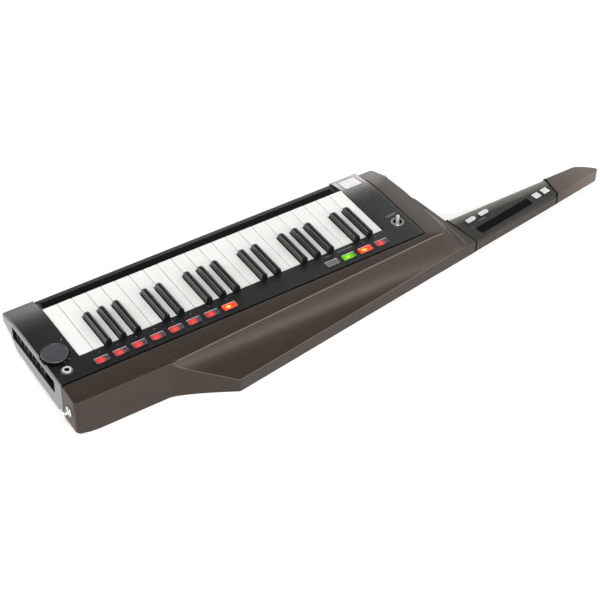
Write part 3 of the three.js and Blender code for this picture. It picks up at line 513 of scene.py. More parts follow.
def glowing(name, center, highlight_y, reach, body, glow, spot, strength):
    """A cap of tinted plastic with a lamp's glow about a point, and a pale line painted along its far edge
    as a highlight.
    """
    finish, nodes = new_finish(name)
    place = nodes.place()
    wide, deep = reach
    near = nodes.add("ShaderNodeMapping", vector_type="TEXTURE", Vector=place)
    nodes.feed(near.inputs["Location"], Vector(center) * MM)
    nodes.feed(near.inputs["Scale"], (wide * MM, deep * MM, 1.0))
    ball = nodes.add("ShaderNodeTexGradient", gradient_type="SPHERICAL", Vector=near.outputs["Vector"])
    cloud = nodes.noise(place, 400.0, 2.0)
    soft = nodes.calculated("MULTIPLY", ball.outputs["Fac"], nodes.ranged(cloud, 0.85, 1.1))
    tone = nodes.ramp(soft, [(0.0, body), (0.42, glow), (0.74, glow), (0.9, spot)])
    light = nodes.ramp(soft, [(0.12, grey(0.0)), (0.5, grey(0.8)), (0.9, grey(1.0))])
    # Painted highlight: a pale band along the cap's far edge
    y = nodes.along(place, "Y")
    line = (highlight_y * MM, (highlight_y + CAP_HIGHLIGHT_BLEND) * MM)
    tint = nodes.mix(nodes.ranged(y, 0.0, 1.0, *line), tone, CAP_HIGHLIGHT)
    nodes.shade(Base_Color=tint, Roughness=nodes.ranged(cloud, 0.22, 0.3))
    power = nodes.calculated("MULTIPLY", light, nodes.ranged(y, strength, 0.0, *line))
    nodes.shade(Emission_Color=tone, Emission_Strength=power)
    return finish


# Each finish: dark and light tone, scale of its clouds, lowest and highest roughness, strength of its grain
SURFACES = {
    "panel_black": ((14, 15, 17), (18, 19, 21), 12.0, (0.24, 0.3), 0.08),
    "case_black": ((26, 27, 24), (31, 32, 29), 14.0, (0.28, 0.36), 0.1),
    "neck_panel_black": ((20, 20, 17), (25, 25, 22), 12.0, (0.34, 0.42), 0.1),
    "knob_plastic": ((50, 51, 55), (56, 57, 61), 40.0, (0.42, 0.5), 0.12),
    "white_key": ((229, 230, 226), (234, 235, 231), 9.0, (0.2, 0.28), 0.03),
    "black_key": ((17, 17, 16), (21, 21, 20), 25.0, (0.22, 0.28), 0.06),
    "ribbon_film": ((6, 6, 9), (9, 9, 12), 30.0, (0.5, 0.58), 0.05),
    "button_white": ((200, 202, 203), (212, 214, 215), 60.0, (0.42, 0.5), 0.1),
    "chrome": ((222, 222, 220), (236, 236, 234), 50.0, (0.14, 0.22), 0.02),
    "nickel": ((120, 121, 118), (142, 143, 140), 50.0, (0.26, 0.34), 0.05),
    "satin_metal": ((196, 197, 194), (212, 212, 209), 50.0, (0.3, 0.38), 0.03),
    # Paler metal for the knob's rim, partly a painted highlight
    "rim_metal": ((74, 75, 78), (92, 93, 95), 50.0, (0.2, 0.28), 0.05),
    "circuit_board": ((10, 14, 12), (13, 18, 15), 60.0, (0.4, 0.5), 0.1),
    "display_window": ((194, 187, 189), (212, 206, 207), 40.0, (0.3, 0.4), 0.02),
    "window_frame": ((52, 54, 54), (60, 62, 62), 30.0, (0.4, 0.5), 0.1),
    # Near black, also used as painted shade: the knob's side, the grooves and the rims round the neck's
    # buttons
    "dark_gap": ((6, 6, 7), (9, 9, 10), 20.0, (0.6, 0.7), 0.05),
    "print_paint": ((120, 122, 122), (140, 142, 142), 90.0, (0.5, 0.6), 0.05),
}
GLOSS = {
    "panel_black": {"Coat_Weight": 0.6, "Coat_Roughness": 0.16},
    "case_black": {"Coat_Weight": 1.0, "Coat_Roughness": 0.2},
    "neck_panel_black": {"Coat_Weight": 0.1, "Coat_Roughness": 0.25, "Specular_IOR_Level": 0.25},
    "ribbon_film": {"Specular_IOR_Level": 0.03},
    "dark_gap": {"Specular_IOR_Level": 0.05},
    "chrome": {"Metallic": 0.75},
    "nickel": {"Metallic": 0.6},
    "satin_metal": {"Metallic": 0.4},
    "rim_metal": {"Metallic": 0.8},
}
FINISHES = {name: surface(name, *values, **GLOSS.get(name, {})) for name, values in SURFACES.items()}
FINISHES["dark_wood"] = wood_finish()
FINISHES["button_red"] = FINISHES["button_green"] = FINISHES["button_white"]
# Painted light: the wood pales toward the head's end
painted_light_blend("dark_wood", "X", 480.0, 560.0, (98, 86, 80))
# Painted highlight: the neck panel pales toward its rounded far edge
painted_light_blend("neck_panel_black", "Y", -58.0, -41.0, (124, 124, 114))


# Case top: the height of a falling top over the player's side
def top_height(y, end_fall, last_fall, edge):
    if y <= FALL_START:
        return PANEL_TOP
    along = min(y, FALL_END) - FALL_START
    fall = end_fall * (along / (FALL_END - FALL_START)) ** FALL_POWER
    if y > FALL_END:
        share = min(1.0, (y - FALL_END) / (edge - FALL_END))
        fall += (last_fall - end_fall) * (1 - math.sqrt(1 - share * share))
    return PANEL_TOP - fall


def panel_height(y):
    return top_height(y, PANEL_END_FALL, PANEL_LAST_FALL, PANEL_FAR)


def wood_height(y):
    return top_height(y, WOOD_END_FALL, WOOD_LAST_FALL, WOOD_FAR)


def falling_places(edge):
    """Places along Y that follow a falling top closely, most of them at its lip."""
    places = [mixed(FALL_START, FALL_END, i / FALL_STEPS) for i in range(FALL_STEPS + 1)]
    return places + [FALL_END + (edge - FALL_END) * math.sin(a) for a in quarter_turn(9)[1:]]


# Wooden body: closed cross-sections along the ridge, then the plank, neck and head
def underside(y):
    """Height of the underside, which rises toward the player's side."""
    if y <= UNDERSIDE[0][0]:
        return 0.0
    for (y0, z0), (y1, z1) in zip(UNDERSIDE, UNDERSIDE[1:]):
        if y <= y1:
            return mixed(z0, z1, (y - y0) / (y1 - y0))
    return UNDERSIDE[-1][1]


def tail_cut(x, y):
    """Height of the slanted cut along the lower edge of the tail end."""
    along = max(0.0, 1 - (x + CASE_END) / TAIL_CUT_LENGTH)
    return (TAIL_CUT_NEAR + TAIL_CUT_GROWTH * (y - TAIL_CUT_NEAR_Y)) * along


def near_outline(x):
    """Near edge of the body in plan."""
    inset = x + CASE_END
    if inset < TAIL_ROUND:
        return BODY_NEAR + TAIL_ROUND - math.sqrt(max(0.0, TAIL_ROUND**2 - (TAIL_ROUND - inset) ** 2))
    if x <= WING_ROOT:
        return BODY_NEAR
    if x >= WING_TIP.x:
        return plank_edge(x)
    across = WING_TIP.x - WING_ROOT - 2 * WING_BEND
    share = (-WING_BEND + math.sqrt(WING_BEND**2 + across * (x - WING_ROOT))) / across
    return BODY_NEAR + (WING_TIP.y - BODY_NEAR) * share * share


def front_lean(x):
    """How far the front face's foot stands out past its top, which it doesn't on the wing."""
    return mixed(FRONT_LEAN, 0.0, clamped((x - WING_ROOT) / (WING_TIP.x - WING_ROOT)))


def hollow(turn, far):
    """Foot share, reach and foot blend of the slope, round the corner and then along the flank."""
    stages = (FOOT_SHARES, HOLLOW_REACHES, FOOT_BLENDS)
    share, reach, blend = [mixed(mixed(near, flank, turn), last, far) for near, flank, last in stages]
    return share, reach, blend + LEAST_ROUND


def slope_height(out, width, shape, crest):
    """Height of the slope: steep at the ridge, then a plain incline down to the foot."""
    share, reach, blend = shape
    line = share * max(width - out, 0.0)
    if abs(width - out) < blend:
        line = share * (width + blend - out) ** 2 / (4 * blend)
    steep = crest - PLANK_HEIGHT - share * width
    left = math.exp(-width / reach) * min(out / width, 1.0)
    return PLANK_HEIGHT + line + steep * max(math.exp(-out / reach) - left, 0.0)


def round_drop(distance, radius):
    """How far a rounded edge lies below its level, at some distance in from it."""
    if distance >= radius:
        return 0.0
    return radius - math.sqrt(radius**2 - (radius - distance) ** 2)


# Cross-sections: their points, their distances apart, and which points get the painted highlight
RIDGE_OFFSETS = [-2.0, -1.3, -0.9, -0.6, -0.3, 0.0, 0.25, 0.5, 0.8, 1.2, 1.7]
RIDGE_SOFTNESS = 1.2
RIDGE_CLEARANCE = 6.0
RIDGE_RISE = 5.0
TOP_SOFTNESS = 1.0
CROWN_POWER = 1.5
SLOPE_STEPS = 16
SLOPE_POWER = 1.5
LEAST_ROUND = 0.01
LEAST_THICKNESS = 0.1
LEAST_WALL = 0.6
LEAST_REACH = 0.3
REACH_STEP = 0.1
FOOT_ROUND_SHARE = 0.4
HIGHLIGHT_RIDGE = 0.4
HIGHLIGHT_LEAST_SLOPE = 3.5
HIGHLIGHT_LEAST_ROUND = 0.5
HIGHLIGHT_RIM_END = 0.3
TAIL_INSETS = [0.0, 0.1, 0.3, 0.6, 0.9, 1.3, 1.9, 2.7, 3.7, 5.0]
TAIL_STEP = 12.0
WING_STEP = 2.0
PLANK_STEP = 9.0
FLANK_STEP = 8.0
CORNER_RINGS = 30
TURN_RINGS = 15
EDGE_AHEAD = -0.3
FAR_AWAY = 1000.0
BOW_LENGTH = 60.0
BOW_POWER = 1.3
highlight_points = []


def section(inner, ridge, foot, outer_reach, shape, end_drop=0.0, outer_round=EDGE_ROUND, lean=0.0):
    """One closed cross-section from the case's seam over the ridge to the outline."""
    inner, ridge, foot = Vector(inner), Vector(ridge), Vector(foot)
    crown = (ridge - inner).length
    slope = (foot - ridge).length
    reach = crown + outer_reach
    crest = PLATEAU_HEIGHT - min(PLATEAU_HEIGHT - RIDGE_HEIGHT, CROWN_SLOPE * crown)
    bend = min(crown, reach - RIDGE_CLEARANCE)
    round_angles = quarter_turn(4)
    places = [EDGE_ROUND * (1 - math.cos(a)) for a in round_angles]
    places += [mixed(EDGE_ROUND, bend + RIDGE_OFFSETS[0], share) for share in (0.25, 0.5, 0.75)]
    places += [bend + offset for offset in RIDGE_OFFSETS]
    start = places[-1]
    end = reach - outer_round
    places += [mixed(start, end, (i / SLOPE_STEPS) ** SLOPE_POWER) for i in range(1, SLOPE_STEPS + 1)]
    places += [reach - outer_round * (1 - math.sin(a)) for a in round_angles[1:]]

    def plan(place):
        if place <= crown:
            return inner.lerp(ridge, place / crown)
        return ridge + (foot - ridge).normalized() * (place - crown)

    def top(place):
        level = mixed(PLATEAU_HEIGHT, crest, min(place / crown, 1.0) ** CROWN_POWER)
        if place > crown - 1.0:
            out = place - crown
            high = slope_height(max(out, 0.0), slope, shape, crest) - min(out, 0.0) * RIDGE_RISE
            level = smooth_min(level, high, RIDGE_SOFTNESS)
        level = smooth_min(level, wood_height(plan(place).y), TOP_SOFTNESS)
        return level - round_drop(place, EDGE_ROUND) - round_drop(reach - place, outer_round) - end_drop

    def bottom(place):
        spot = plan(place)
        return max(underside(spot.y), tail_cut(spot.x, spot.y))

    ring = [(*plan(place), max(top(place), bottom(place) + LEAST_THICKNESS)) for place in places]
    # Points on the ridge and on the outer rounding are kept for the painted highlight
    for place, spot in zip(places, ring):
        on_rim = end < place < reach - HIGHLIGHT_RIM_END * outer_round
        painted_highlight = abs(place - bend) < HIGHLIGHT_RIDGE or (outer_round > HIGHLIGHT_LEAST_ROUND and on_rim)
        if painted_highlight and outer_reach > HIGHLIGHT_LEAST_SLOPE:
            highlight_points.append(spot)
    last = bottom(reach)
    for a in round_angles:
        lift = EDGE_ROUND * (1 - math.sin(a))
        foot_place = reach + lean - EDGE_ROUND * (1 - math.cos(a))
        ring.append((*plan(foot_place), last + min(lift, FOOT_ROUND_SHARE * (ring[-1][2] - last))))
    ring.append((*plan(reach * 0.5), bottom(reach * 0.5)))
    ring.append((*plan(0.0), bottom(0.0)))
    return ring


def slope_reach(y, width, shape):
    """How far the flank's slope runs out before it meets the plank or the rising underside."""
    reach = width + FOOT_BLEND
    floor = underside(y) + LEAST_WALL
    while reach > LEAST_REACH and slope_height(reach, width, shape, RIDGE_HEIGHT) < floor:
        reach -= REACH_STEP
    return reach


def spread(start, end, step):
    """Places after start, up to end, about a step apart."""
    count = max(1, round(abs(end - start) / step))
    return [mixed(start, end, i / count) for i in range(1, count + 1)]


def near_rings():
    """Cross-sections along the ridge, from the tail end to the corner by the neck."""
    places = [-CASE_END + inset for inset in TAIL_INSETS]
    places += spread(-CASE_END + TAIL_ROUND, WING_ROOT, TAIL_STEP)
    places += spread(WING_ROOT, WING_TIP.x, WING_STEP)
    places += spread(WING_TIP.x, RIDGE_CORNER_X, PLANK_STEP)
    for x in places:
        ridge = (x, ridge_y(x))
        foot = (x, plank_edge(x))
        inner = (min(x, SEAM_RIGHT), SEAM_NEAR)
        end_drop = round_drop(x + CASE_END, EDGE_ROUND)
        reach = ridge[1] - near_outline(x)
        yield section(inner, ridge, foot, reach, hollow(0.0, 0.0), end_drop, lean=front_lean(x))


def corner_rings(center):
    """Cross-sections round the corner by the neck."""
    full = FLANK_WIDTH + FOOT_BLEND
    edge_gap = center.y - plank_edge(center.x)
    for i in range(1, CORNER_RINGS + 1):
        angle = math.pi / 2 * (i / CORNER_RINGS - 1)
        out = Vector((math.cos(angle), math.sin(angle)))
        ridge = center + out * RIDGE_CORNER_ROUND
        to_edge = edge_gap / (PLANK_SLOPE * out.x - out.y) if out.y < EDGE_AHEAD else FAR_AWAY
        room = to_edge - RIDGE_CORNER_ROUND
        edge_round = EDGE_ROUND if room < full else LEAST_ROUND
        turn = min(1.0, i / TURN_RINGS)
        foot = ridge + out * min(mixed(edge_gap - RIDGE_CORNER_ROUND, FLANK_WIDTH, turn), room)
        inner = (SEAM_RIGHT, SEAM_NEAR)
        yield section(inner, ridge, foot, min(full, room), hollow(turn, 0.0), 0.0, edge_round)


def flank_rings(center):
    """Cross-sections along the flank by the neck, to the far corner."""
    for y in spread(center.y, FALL_START, FLANK_STEP) + falling_places(WOOD_FAR)[1:]:
        bow = FLANK_BOW * max(0.0, y / BOW_LENGTH) ** BOW_POWER
        inset = round_drop(WOOD_FAR - y, FAR_CORNER_ROUND) + bow
        x = center.x + RIDGE_CORNER_ROUND - RIDGE_LEAN_SLOPE * (y - center.y) - inset
        far = clamped((y - FLANK_FAR_START) / (FLANK_FAR_END - FLANK_FAR_START))
        far = far * far * (3 - 2 * far)
        width = mixed(FLANK_WIDTH, SLOPE_WIDTH, far)
        shape = hollow(1.0, far)
        reach = slope_reach(y, width, shape)
        edge_round = min(EDGE_ROUND, reach / 2) if reach < width + FOOT_BLEND else LEAST_ROUND
        yield section((SEAM_RIGHT, y), (x, y), (x + width, y), reach, shape, 0.0, edge_round)


def body_ribbon():
    center = Vector((RIDGE_CORNER_X, ridge_y(RIDGE_CORNER_X) + RIDGE_CORNER_ROUND))
    rings = [*near_rings(), *corner_rings(center), *flank_rings(center)]
    ribbon = lofted("wooden_body", rings)
    mark_painted_highlight(ribbon, highlight_points)
    return shaded(ribbon, 30.0)


def mark_painted_highlight(piece, points):
    """Marks the vertices that lie at the given points for the wood's painted highlight, a paler tone along
    its ridge and edges.
    """
    tree = KDTree(len(points))
    for i, point in enumerate(points):
        tree.insert(Vector(point) * MM, i)
    tree.balance()
    layer = piece.data.attributes.new("painted_highlight", "FLOAT", "POINT")
    for vertex, entry in zip(piece.data.vertices, layer.data):
        entry.value = 1.0 if tree.find(vertex.co)[2] < SAME_PLACE * MM else 0.0


# Plank, neck and head
UNDER_LAP = 3.0
BELOW = -1.0
GROOVE_PROUD = 0.3
GROOVE_FLOOR = 1.0
HAIR = 0.03
ROOT_DEPTH = 30.0
PLANK_RIM = 1.6
PLANK_HIGHLIGHT_START = 0.08
PLANK_HIGHLIGHT_END = 0.6


def groove_line(start, lean):
    """Near and far end of a groove across the neck, from its X at the far edge and its lean."""
    depth = NECK_FAR - plank_edge(BODY_GROOVE[0])
    near_x = start + lean
    for _ in range(3):
        near_x = start + lean * (NECK_FAR - plank_edge(near_x)) / depth
    return Vector((near_x, plank_edge(near_x))), Vector((start, NECK_FAR))


def head_outline():
    tip = Vector((HEAD_TIP_X, plank_edge(HEAD_TIP_X)))
    before = Vector((HEAD_TIP_X - HEAD_TIP_ROUND, plank_edge(HEAD_TIP_X - HEAD_TIP_ROUND)))
    after = tip + Vector((0.0, HEAD_TIP_ROUND))
    turn = Vector((HEAD_TURN_X, NECK_FAR))
    control = Vector((mixed(turn.x, tip.x, HEAD_TURN_SHARE), mixed(turn.y, tip.y, HEAD_FALL_SHARE)))
    return [before, *bezier(before, tip, after, 5), *bezier(after, control, turn, 14)]


def plank_and_neck():
    near_left, far_left = groove_line(*BODY_GROOVE)
    near_right, far_right = groove_line(*HEAD_GROOVE)
    start_x = RIDGE_CORNER_X - UNDER_LAP
    foot_x = RIDGE_CORNER_X + RIDGE_CORNER_ROUND
    inset = Vector((0.0, HAIR))
    lap = Vector((UNDER_LAP, 0.0))
    start = Vector((start_x, plank_edge(start_x)))
    root = [start + inset, near_left + inset, far_left, *[Vector(point) for point in FLANGE]]
    root += [Vector((foot_x, root[-1].y)), Vector((foot_x, start.y + ROOT_DEPTH))]
    core = [near_left - lap + inset, near_right + lap + inset, far_right + lap, far_left - lap]
    body = prism("wooden_neck", root, HAIR, PLANK_HEIGHT)
    neck = prism("neck_core", core, HAIR, NECK_FLOOR)
    tip = prism("head", [near_right, *head_outline(), far_right], HAIR, PLANK_HEIGHT)
    join(body, neck)
    join(body, tip)
    below = [(UNDERSIDE[0][0], BELOW), *UNDERSIDE, (UNDERSIDE[-1][0], BELOW)]
    cut(body, carried("rising_underside", below, start_x - 1.0, foot_x + 60.0))
    tidied(body)
    softened(body, width=1.4, segments=4)
    # Painted highlight along the plank's near rounded edge: a band of its vertices takes the paler tone
    spots = [vertex.co / MM for vertex in body.data.vertices]
    rim = [spot for spot in spots if spot.y - plank_edge(spot.x) < PLANK_RIM]
    rim = [spot for spot in rim if spot.z > PLANK_HEIGHT - PLANK_RIM]
    wide = PLANK_HEIGHT - min(spot.z for spot in rim)
    start, end = PLANK_HIGHLIGHT_START * wide, PLANK_HIGHLIGHT_END * wide
    mark_painted_highlight(body, [spot for spot in rim if start < PLANK_HEIGHT - spot.z < end])
    return body


def groove_filler(name, groove, before, after):
    """A dark strip, painted shade, that shows as the groove's line from above and from the side."""
    near, far = groove_line(*groove)
    along = (far - near).normalized()
    near = near - along * GROOVE_PROUD
    low_edge = [near - Vector((before, 0.0)), near + Vector((after, 0.0))]
    high_edge = [far + Vector((after, 0.0)), far - Vector((before, 0.0))]
    strip = prism(name, low_edge + high_edge, GROOVE_FLOOR, PLANK_HEIGHT + GROOVE_PROUD)
    placed(strip, "body", "panel_black", finish="dark_gap")


def wood_body():
    placed(body_ribbon(), "body", "dark_wood", "wood_body")
    placed(plank_and_neck(), "body", "dark_wood")
    groove_filler("body_groove", BODY_GROOVE, before=1.1, after=0.9)
    groove_filler("head_groove", HEAD_GROOVE, before=0.4, after=3.2)


wood_body()


# Top panel: both end blocks and the button strip in one moulding
CAP_LENGTH = 18.5
CAP_WIDTH = 9.0
CAP_PITCH = 25.2
CAP_Y = (PROGRAM_LOW.y + PROGRAM_HIGH.y) / 2
PROGRAM_CAPS = [PROGRAM_LOW.x + CAP_LENGTH / 2 + i * CAP_PITCH for i in range(8)]
FUNCTION_CAPS = [FUNCTION_LOW.x + CAP_LENGTH / 2 + i * CAP_PITCH for i in range(4)]
CAP_CLEARANCE = 0.4
BLOCK_CORNER_ROUND = 3.5
END_ROUND = 1.8
SKIRT_DROP = 0.5
KNOB_PLACE = middle(KNOB_LOW, KNOB_HIGH)
KNOB_RADIUS = (KNOB_HIGH.x - KNOB_LOW.x) / 2
KNOB_SEAT = PANEL_TOP - 3.2
CUP_GAP = 1.3
CUP_WALL = 2.0
PHONES_PLACE = middle(PHONES_LOW, PHONES_HIGH)
PHONES_HOLE = 5.4
PHONES_DISH = 8.6
TOGGLE_PLACE = middle(TOGGLE_LOW, TOGGLE_HIGH)
TOGGLE_HOLE = 6.8
WINDOW_CORNER = 1.6
ABOVE = 90.0


def case_plan():
    """Plan of the case, rounded at the two far corners."""
    round_x = CASE_END - BLOCK_CORNER_ROUND
    round_y = PANEL_FAR - BLOCK_CORNER_ROUND
    points = [(-CASE_END, PANEL_NEAR), (CASE_END, PANEL_NEAR)]
    for start, center_x in ((0, round_x), (1, -round_x)):
        for i in range(CORNER_STEPS + 1):
            angle = math.pi / 2 * (start + i / CORNER_STEPS)
            x = center_x + BLOCK_CORNER_ROUND * math.cos(angle)
            points.append((x, round_y + BLOCK_CORNER_ROUND * math.sin(angle)))
    return points


def window_piece(name, grow, low, high, edge=0.0):
    """A plate at the window's place and tilt, between two heights over the panel."""
    near, far = panel_height(WINDOW_LOW.y), panel_height(WINDOW_HIGH.y)
    deep = WINDOW_HIGH.y - WINDOW_LOW.y
    tilt = math.atan((near - far) / deep)
    place = (*middle(WINDOW_LOW, WINDOW_HIGH), (near + far) / 2)
    length = WINDOW_HIGH.x - WINDOW_LOW.x + 2 * grow
    width = deep / math.cos(tilt) + 2 * grow
    return slab(name, length, width, low, high, WINDOW_CORNER + grow, place, tilt, edge)


def top_panel():
    curve = [(PANEL_NEAR, PANEL_TOP), *[(y, panel_height(y)) for y in falling_places(PANEL_FAR)]]
    under = [(y, z - PANEL_THICKNESS) for y, z in reversed(curve)]
    insets = [END_ROUND * (1 - math.cos(angle)) for angle in quarter_turn(5)]
    rings = []
    for x, inset in [(-CASE_END + i, i) for i in insets] + [(CASE_END - i, i) for i in reversed(insets)]:
        drop = round_drop(inset, END_ROUND)
        rings.append([(x, y, z - drop) for y, z in curve] + [(x, y, z) for y, z in under])
    panel = lofted("case_top", rings)
    half = KEYS_HALF + SEAM_GAP
    rear = KEYS_REAR - SEAM_GAP
    skirt_top = [(y, z - SKIRT_DROP) for y, z in curve if z - SKIRT_DROP > SKIRT_LOW]
    skirt = [(rear, SKIRT_LOW), (rear, PANEL_TOP - SKIRT_DROP)]
    skirt += [(y, z) for y, z in skirt_top if y > KEYS_REAR] + [(skirt_top[-1][0], SKIRT_LOW)]
    cut(panel, box("key_hole", -half, half, rear, PANEL_FAR + 5.0, 0.0, ABOVE))
    join(panel, carried("left_skirt", skirt, -half - SKIRT_WIDTH, -half))
    join(panel, carried("right_skirt", skirt, half, half + SKIRT_WIDTH))
    combine(panel, [prism("plan", case_plan(), 20.0, ABOVE)], "INTERSECT")
    hole = KNOB_RADIUS + CUP_GAP
    cup = rod("cup", hole + CUP_WALL, *KNOB_PLACE, KNOB_SEAT - CUP_WALL, PANEL_TOP - 1.0)
    beyond = box("beyond", -400.0, -CASE_END + 0.2, -100.0, 100.0, 0.0, ABOVE)
    join(panel, cut(cup, beyond))
    wide = CAP_LENGTH / 2 + CAP_CLEARANCE
    deep = CAP_WIDTH / 2 + CAP_CLEARANCE
    sides = (CAP_Y - deep, CAP_Y + deep, 0.0, ABOVE)
    tools = [box("cap_hole", x - wide, x + wide, *sides) for x in PROGRAM_CAPS + FUNCTION_CAPS]
    tools += [
        rod("cup_hole", hole, *KNOB_PLACE, KNOB_SEAT, ABOVE),
        rod("phones_hole", PHONES_HOLE, *PHONES_PLACE, 0.0, ABOVE),
        rod("phones_dish", PHONES_DISH, *PHONES_PLACE, PANEL_TOP - 1.0, ABOVE),
        rod("toggle_hole", TOGGLE_HOLE, *TOGGLE_PLACE, 0.0, ABOVE),
        window_piece("window_seat", grow=0.5, low=-0.5, high=12.0),
    ]
    for tool in tools:
        cut(panel, tool)
    tidied(panel, 0.2)
    softened(panel, width=0.5)
    placed(panel, "body", "panel_black", "top_panel")


top_panel()


# Window: a frame round a pale display
def make_window():
    frame_ring = window_piece("window_frame", grow=0.2, low=-0.4, high=0.4, edge=0.2)
    cut(frame_ring, window_piece("window_opening", grow=-0.7, low=-2.0, high=3.0))
    placed(shaded(frame_ring), "body", "panel_black", finish="window_frame")
    pane = window_piece("window_pane", grow=-0.75, low=-0.4, high=0.35, edge=0.2)
    placed(shaded(pane), "body", "display_window", "display_window")


# Volume knob: a flat disc, a rim of paler metal and a fluted side; the rim's pale tone is partly a painted
# highlight, and the side's near black is painted shade
KNOB_TOP = KNOB_HIGH.z
KNOB_RIM = KNOB_RADIUS - 0.3
KNOB_FLUTES = 54
STEM_RADIUS = 3.0


def make_knob():
    place = (*KNOB_PLACE, 0)
    disc = [(0.0, KNOB_TOP - 0.3), *around(KNOB_RIM, KNOB_TOP, [(-1.4, -0.3), (-1.0, -0.5)])]
    disc.append((0.0, KNOB_TOP - 1.2))
    dial = turned("volume_dial", disc, place, steps=96, angle=35.0)
    placed(dial, "volume_knob", "panel_black", "volume_knob", finish="knob_plastic")
    offsets = [(-1.2, -1.0), (-1.2, -0.3), (-0.9, -0.05), (-0.6, 0.0)]
    offsets += [(-0.25, -0.15), (0.0, -0.5), (0.0, -1.0), (-1.2, -1.0)]
    # The rim's paler metal is partly a painted highlight round the disc's edge
    rim = turned("volume_dial_rim", around(KNOB_RIM, KNOB_TOP, offsets), place, steps=144)
    placed(rim, "volume_knob", "panel_black", finish="rim_metal")
    side = [(0.0, KNOB_TOP - 0.9), (KNOB_RIM - 0.2, KNOB_TOP - 0.9), (KNOB_RADIUS, KNOB_TOP - 1.6, 1.0)]
    side += around(KNOB_RADIUS, KNOB_SEAT, [(0.0, 1.6, 1.0), (-0.6, 1.0)])
    side += [(STEM_RADIUS, KNOB_SEAT + 1.0), (STEM_RADIUS, KNOB_LOW.z), (0.0, KNOB_LOW.z)]
    flutes = {"steps": 8 * KNOB_FLUTES, "flutes": KNOB_FLUTES, "depth": 0.35}
    # The fluted side takes the near black finish: painted shade on the side wall
    wall = turned("volume_dial_side", side, place, angle=35.0, **flutes)
    placed(wall, "volume_knob", "panel_black", finish="dark_gap")


# Phones socket: a bright ring, a knurled dark nut and a dark bore
PHONES_NUT = 5.5
PHONES_BORE = 3.3
PHONES_OUTER = 7.6
PHONES_FLUTES = 24


def make_phones():
    place = (*PHONES_PLACE, 0)
    top = PHONES_HIGH.z
    floor = PHONES_LOW.z
    nut = around(PHONES_BORE, top, [(0.0, -1.2), (0.0, -0.5), (0.5, -0.1), (0.9, 0.0)])
    nut += around(PHONES_NUT, top, [(-1.0, 0.0), (-0.4, -0.2), (0.0, -0.8), (0.0, -2.2)])
    nut += around(PHONES_BORE, top, [(0.0, -2.2), (0.0, -1.2)])
    placed(turned("phones_ring", nut, place, steps=96), "body", "chrome", finish="satin_metal")
    collar = around(PHONES_NUT, top, [(-0.2, -1.6)])
    collar += around(PHONES_OUTER, top, [(-0.5, -1.6, 0.5), (0.0, -1.9, 1.0), (0.0, -2.5, 1.0)])
    collar += around(PHONES_NUT, top, [(-0.2, -2.5), (-0.2, -1.6)])
    flutes = {"steps": 12 * PHONES_FLUTES, "flutes": PHONES_FLUTES, "depth": 0.8}
    placed(turned("phones_washer", collar, place, **flutes), "body", "chrome", finish="nickel")
    barrel = [(PHONES_BORE, floor), (PHONES_BORE, top - 1.2), (5.3, top - 1.2)]
    barrel += [(5.3, floor), (PHONES_BORE, floor)]
    tube = turned("phones_barrel", barrel, place)
    placed(tube, "body", "case_black", "phones_socket", finish="dark_gap")


# Toggle: a ring, a dark boot and a bright lever
TOGGLE_RING = (TOGGLE_HIGH.x - TOGGLE_LOW.x) / 2
BOOT_INNER = 4.0
BOOT_OUTER = 6.5
LEVER_LOW, LEVER_HIGH = span("toggle_lever")
LEVER_RADIUS = 2.3


def make_toggle():
    place = (*TOGGLE_PLACE, 0)
    top = TOGGLE_HIGH.z
    floor = TOGGLE_LOW.z
    ring = [(6.0, PANEL_TOP - 2.0), (6.0, top - 0.5), (6.3, top - 0.1), (6.9, top), (7.4, top - 0.2)]
    ring += around(TOGGLE_RING, PANEL_TOP, [(-0.5, 0.5), (0.0, 0.1), (0.0, -0.2)])
    ring += around(0.0, PANEL_TOP, [(6.6, -0.2), (6.6, -2.0), (6.0, -2.0)])
    placed(turned("toggle_ring", ring, place, steps=96), "body", "chrome", finish="nickel")
    boot = around(0.0, PANEL_TOP, [(BOOT_INNER, -3.4), (4.6, -1.4), (5.3, -1.2), (BOOT_OUTER, -2.2)])
    boot = [(BOOT_INNER, floor), *boot, (BOOT_OUTER, floor), (BOOT_INNER, floor)]
    placed(turned("toggle_boot", boot, place), "body", "chrome", "toggle_bushing", finish="dark_gap")
    lever = around(0.0, LEVER_LOW.z, [(0.0, 0.0), (2.0, 0.3), (3.3, 2.4), (2.9, 4.6), (2.1, 5.8)])
    lever += [(LEVER_RADIUS, LEVER_LOW.z + 7.4)]
    lever += around(LEVER_RADIUS, LEVER_HIGH.z, [(0.0, -1.0), (-0.15, -0.45), (-0.6, -0.1)])
    lever += [(1.0, LEVER_HIGH.z), (0.0, LEVER_HIGH.z)]
    stick = turned("toggle_stick", lever, place)
    placed(stick, "toggle_lever", "chrome", "toggle_lever", finish="satin_metal")


# Caps: eight program and four function buttons, some of them lit
SMOKE = srgb(72, 63, 72)
PALE_SMOKE = srgb(100, 102, 100)
RED = srgb(204, 58, 56)
LIGHT_RED = srgb(236, 84, 72)
ORANGE = srgb(236, 58, 34)
YELLOW = srgb(255, 206, 60)
GREEN = srgb(92, 172, 18)
DARK_GREEN = srgb(40, 92, 16)
LIGHT_GREEN = srgb(190, 240, 60)
LAMP_X = -2.6
LAMP_Y = CAP_Y - 1.6
CAP_HIGHLIGHT_Y = CAP_Y + 2.9

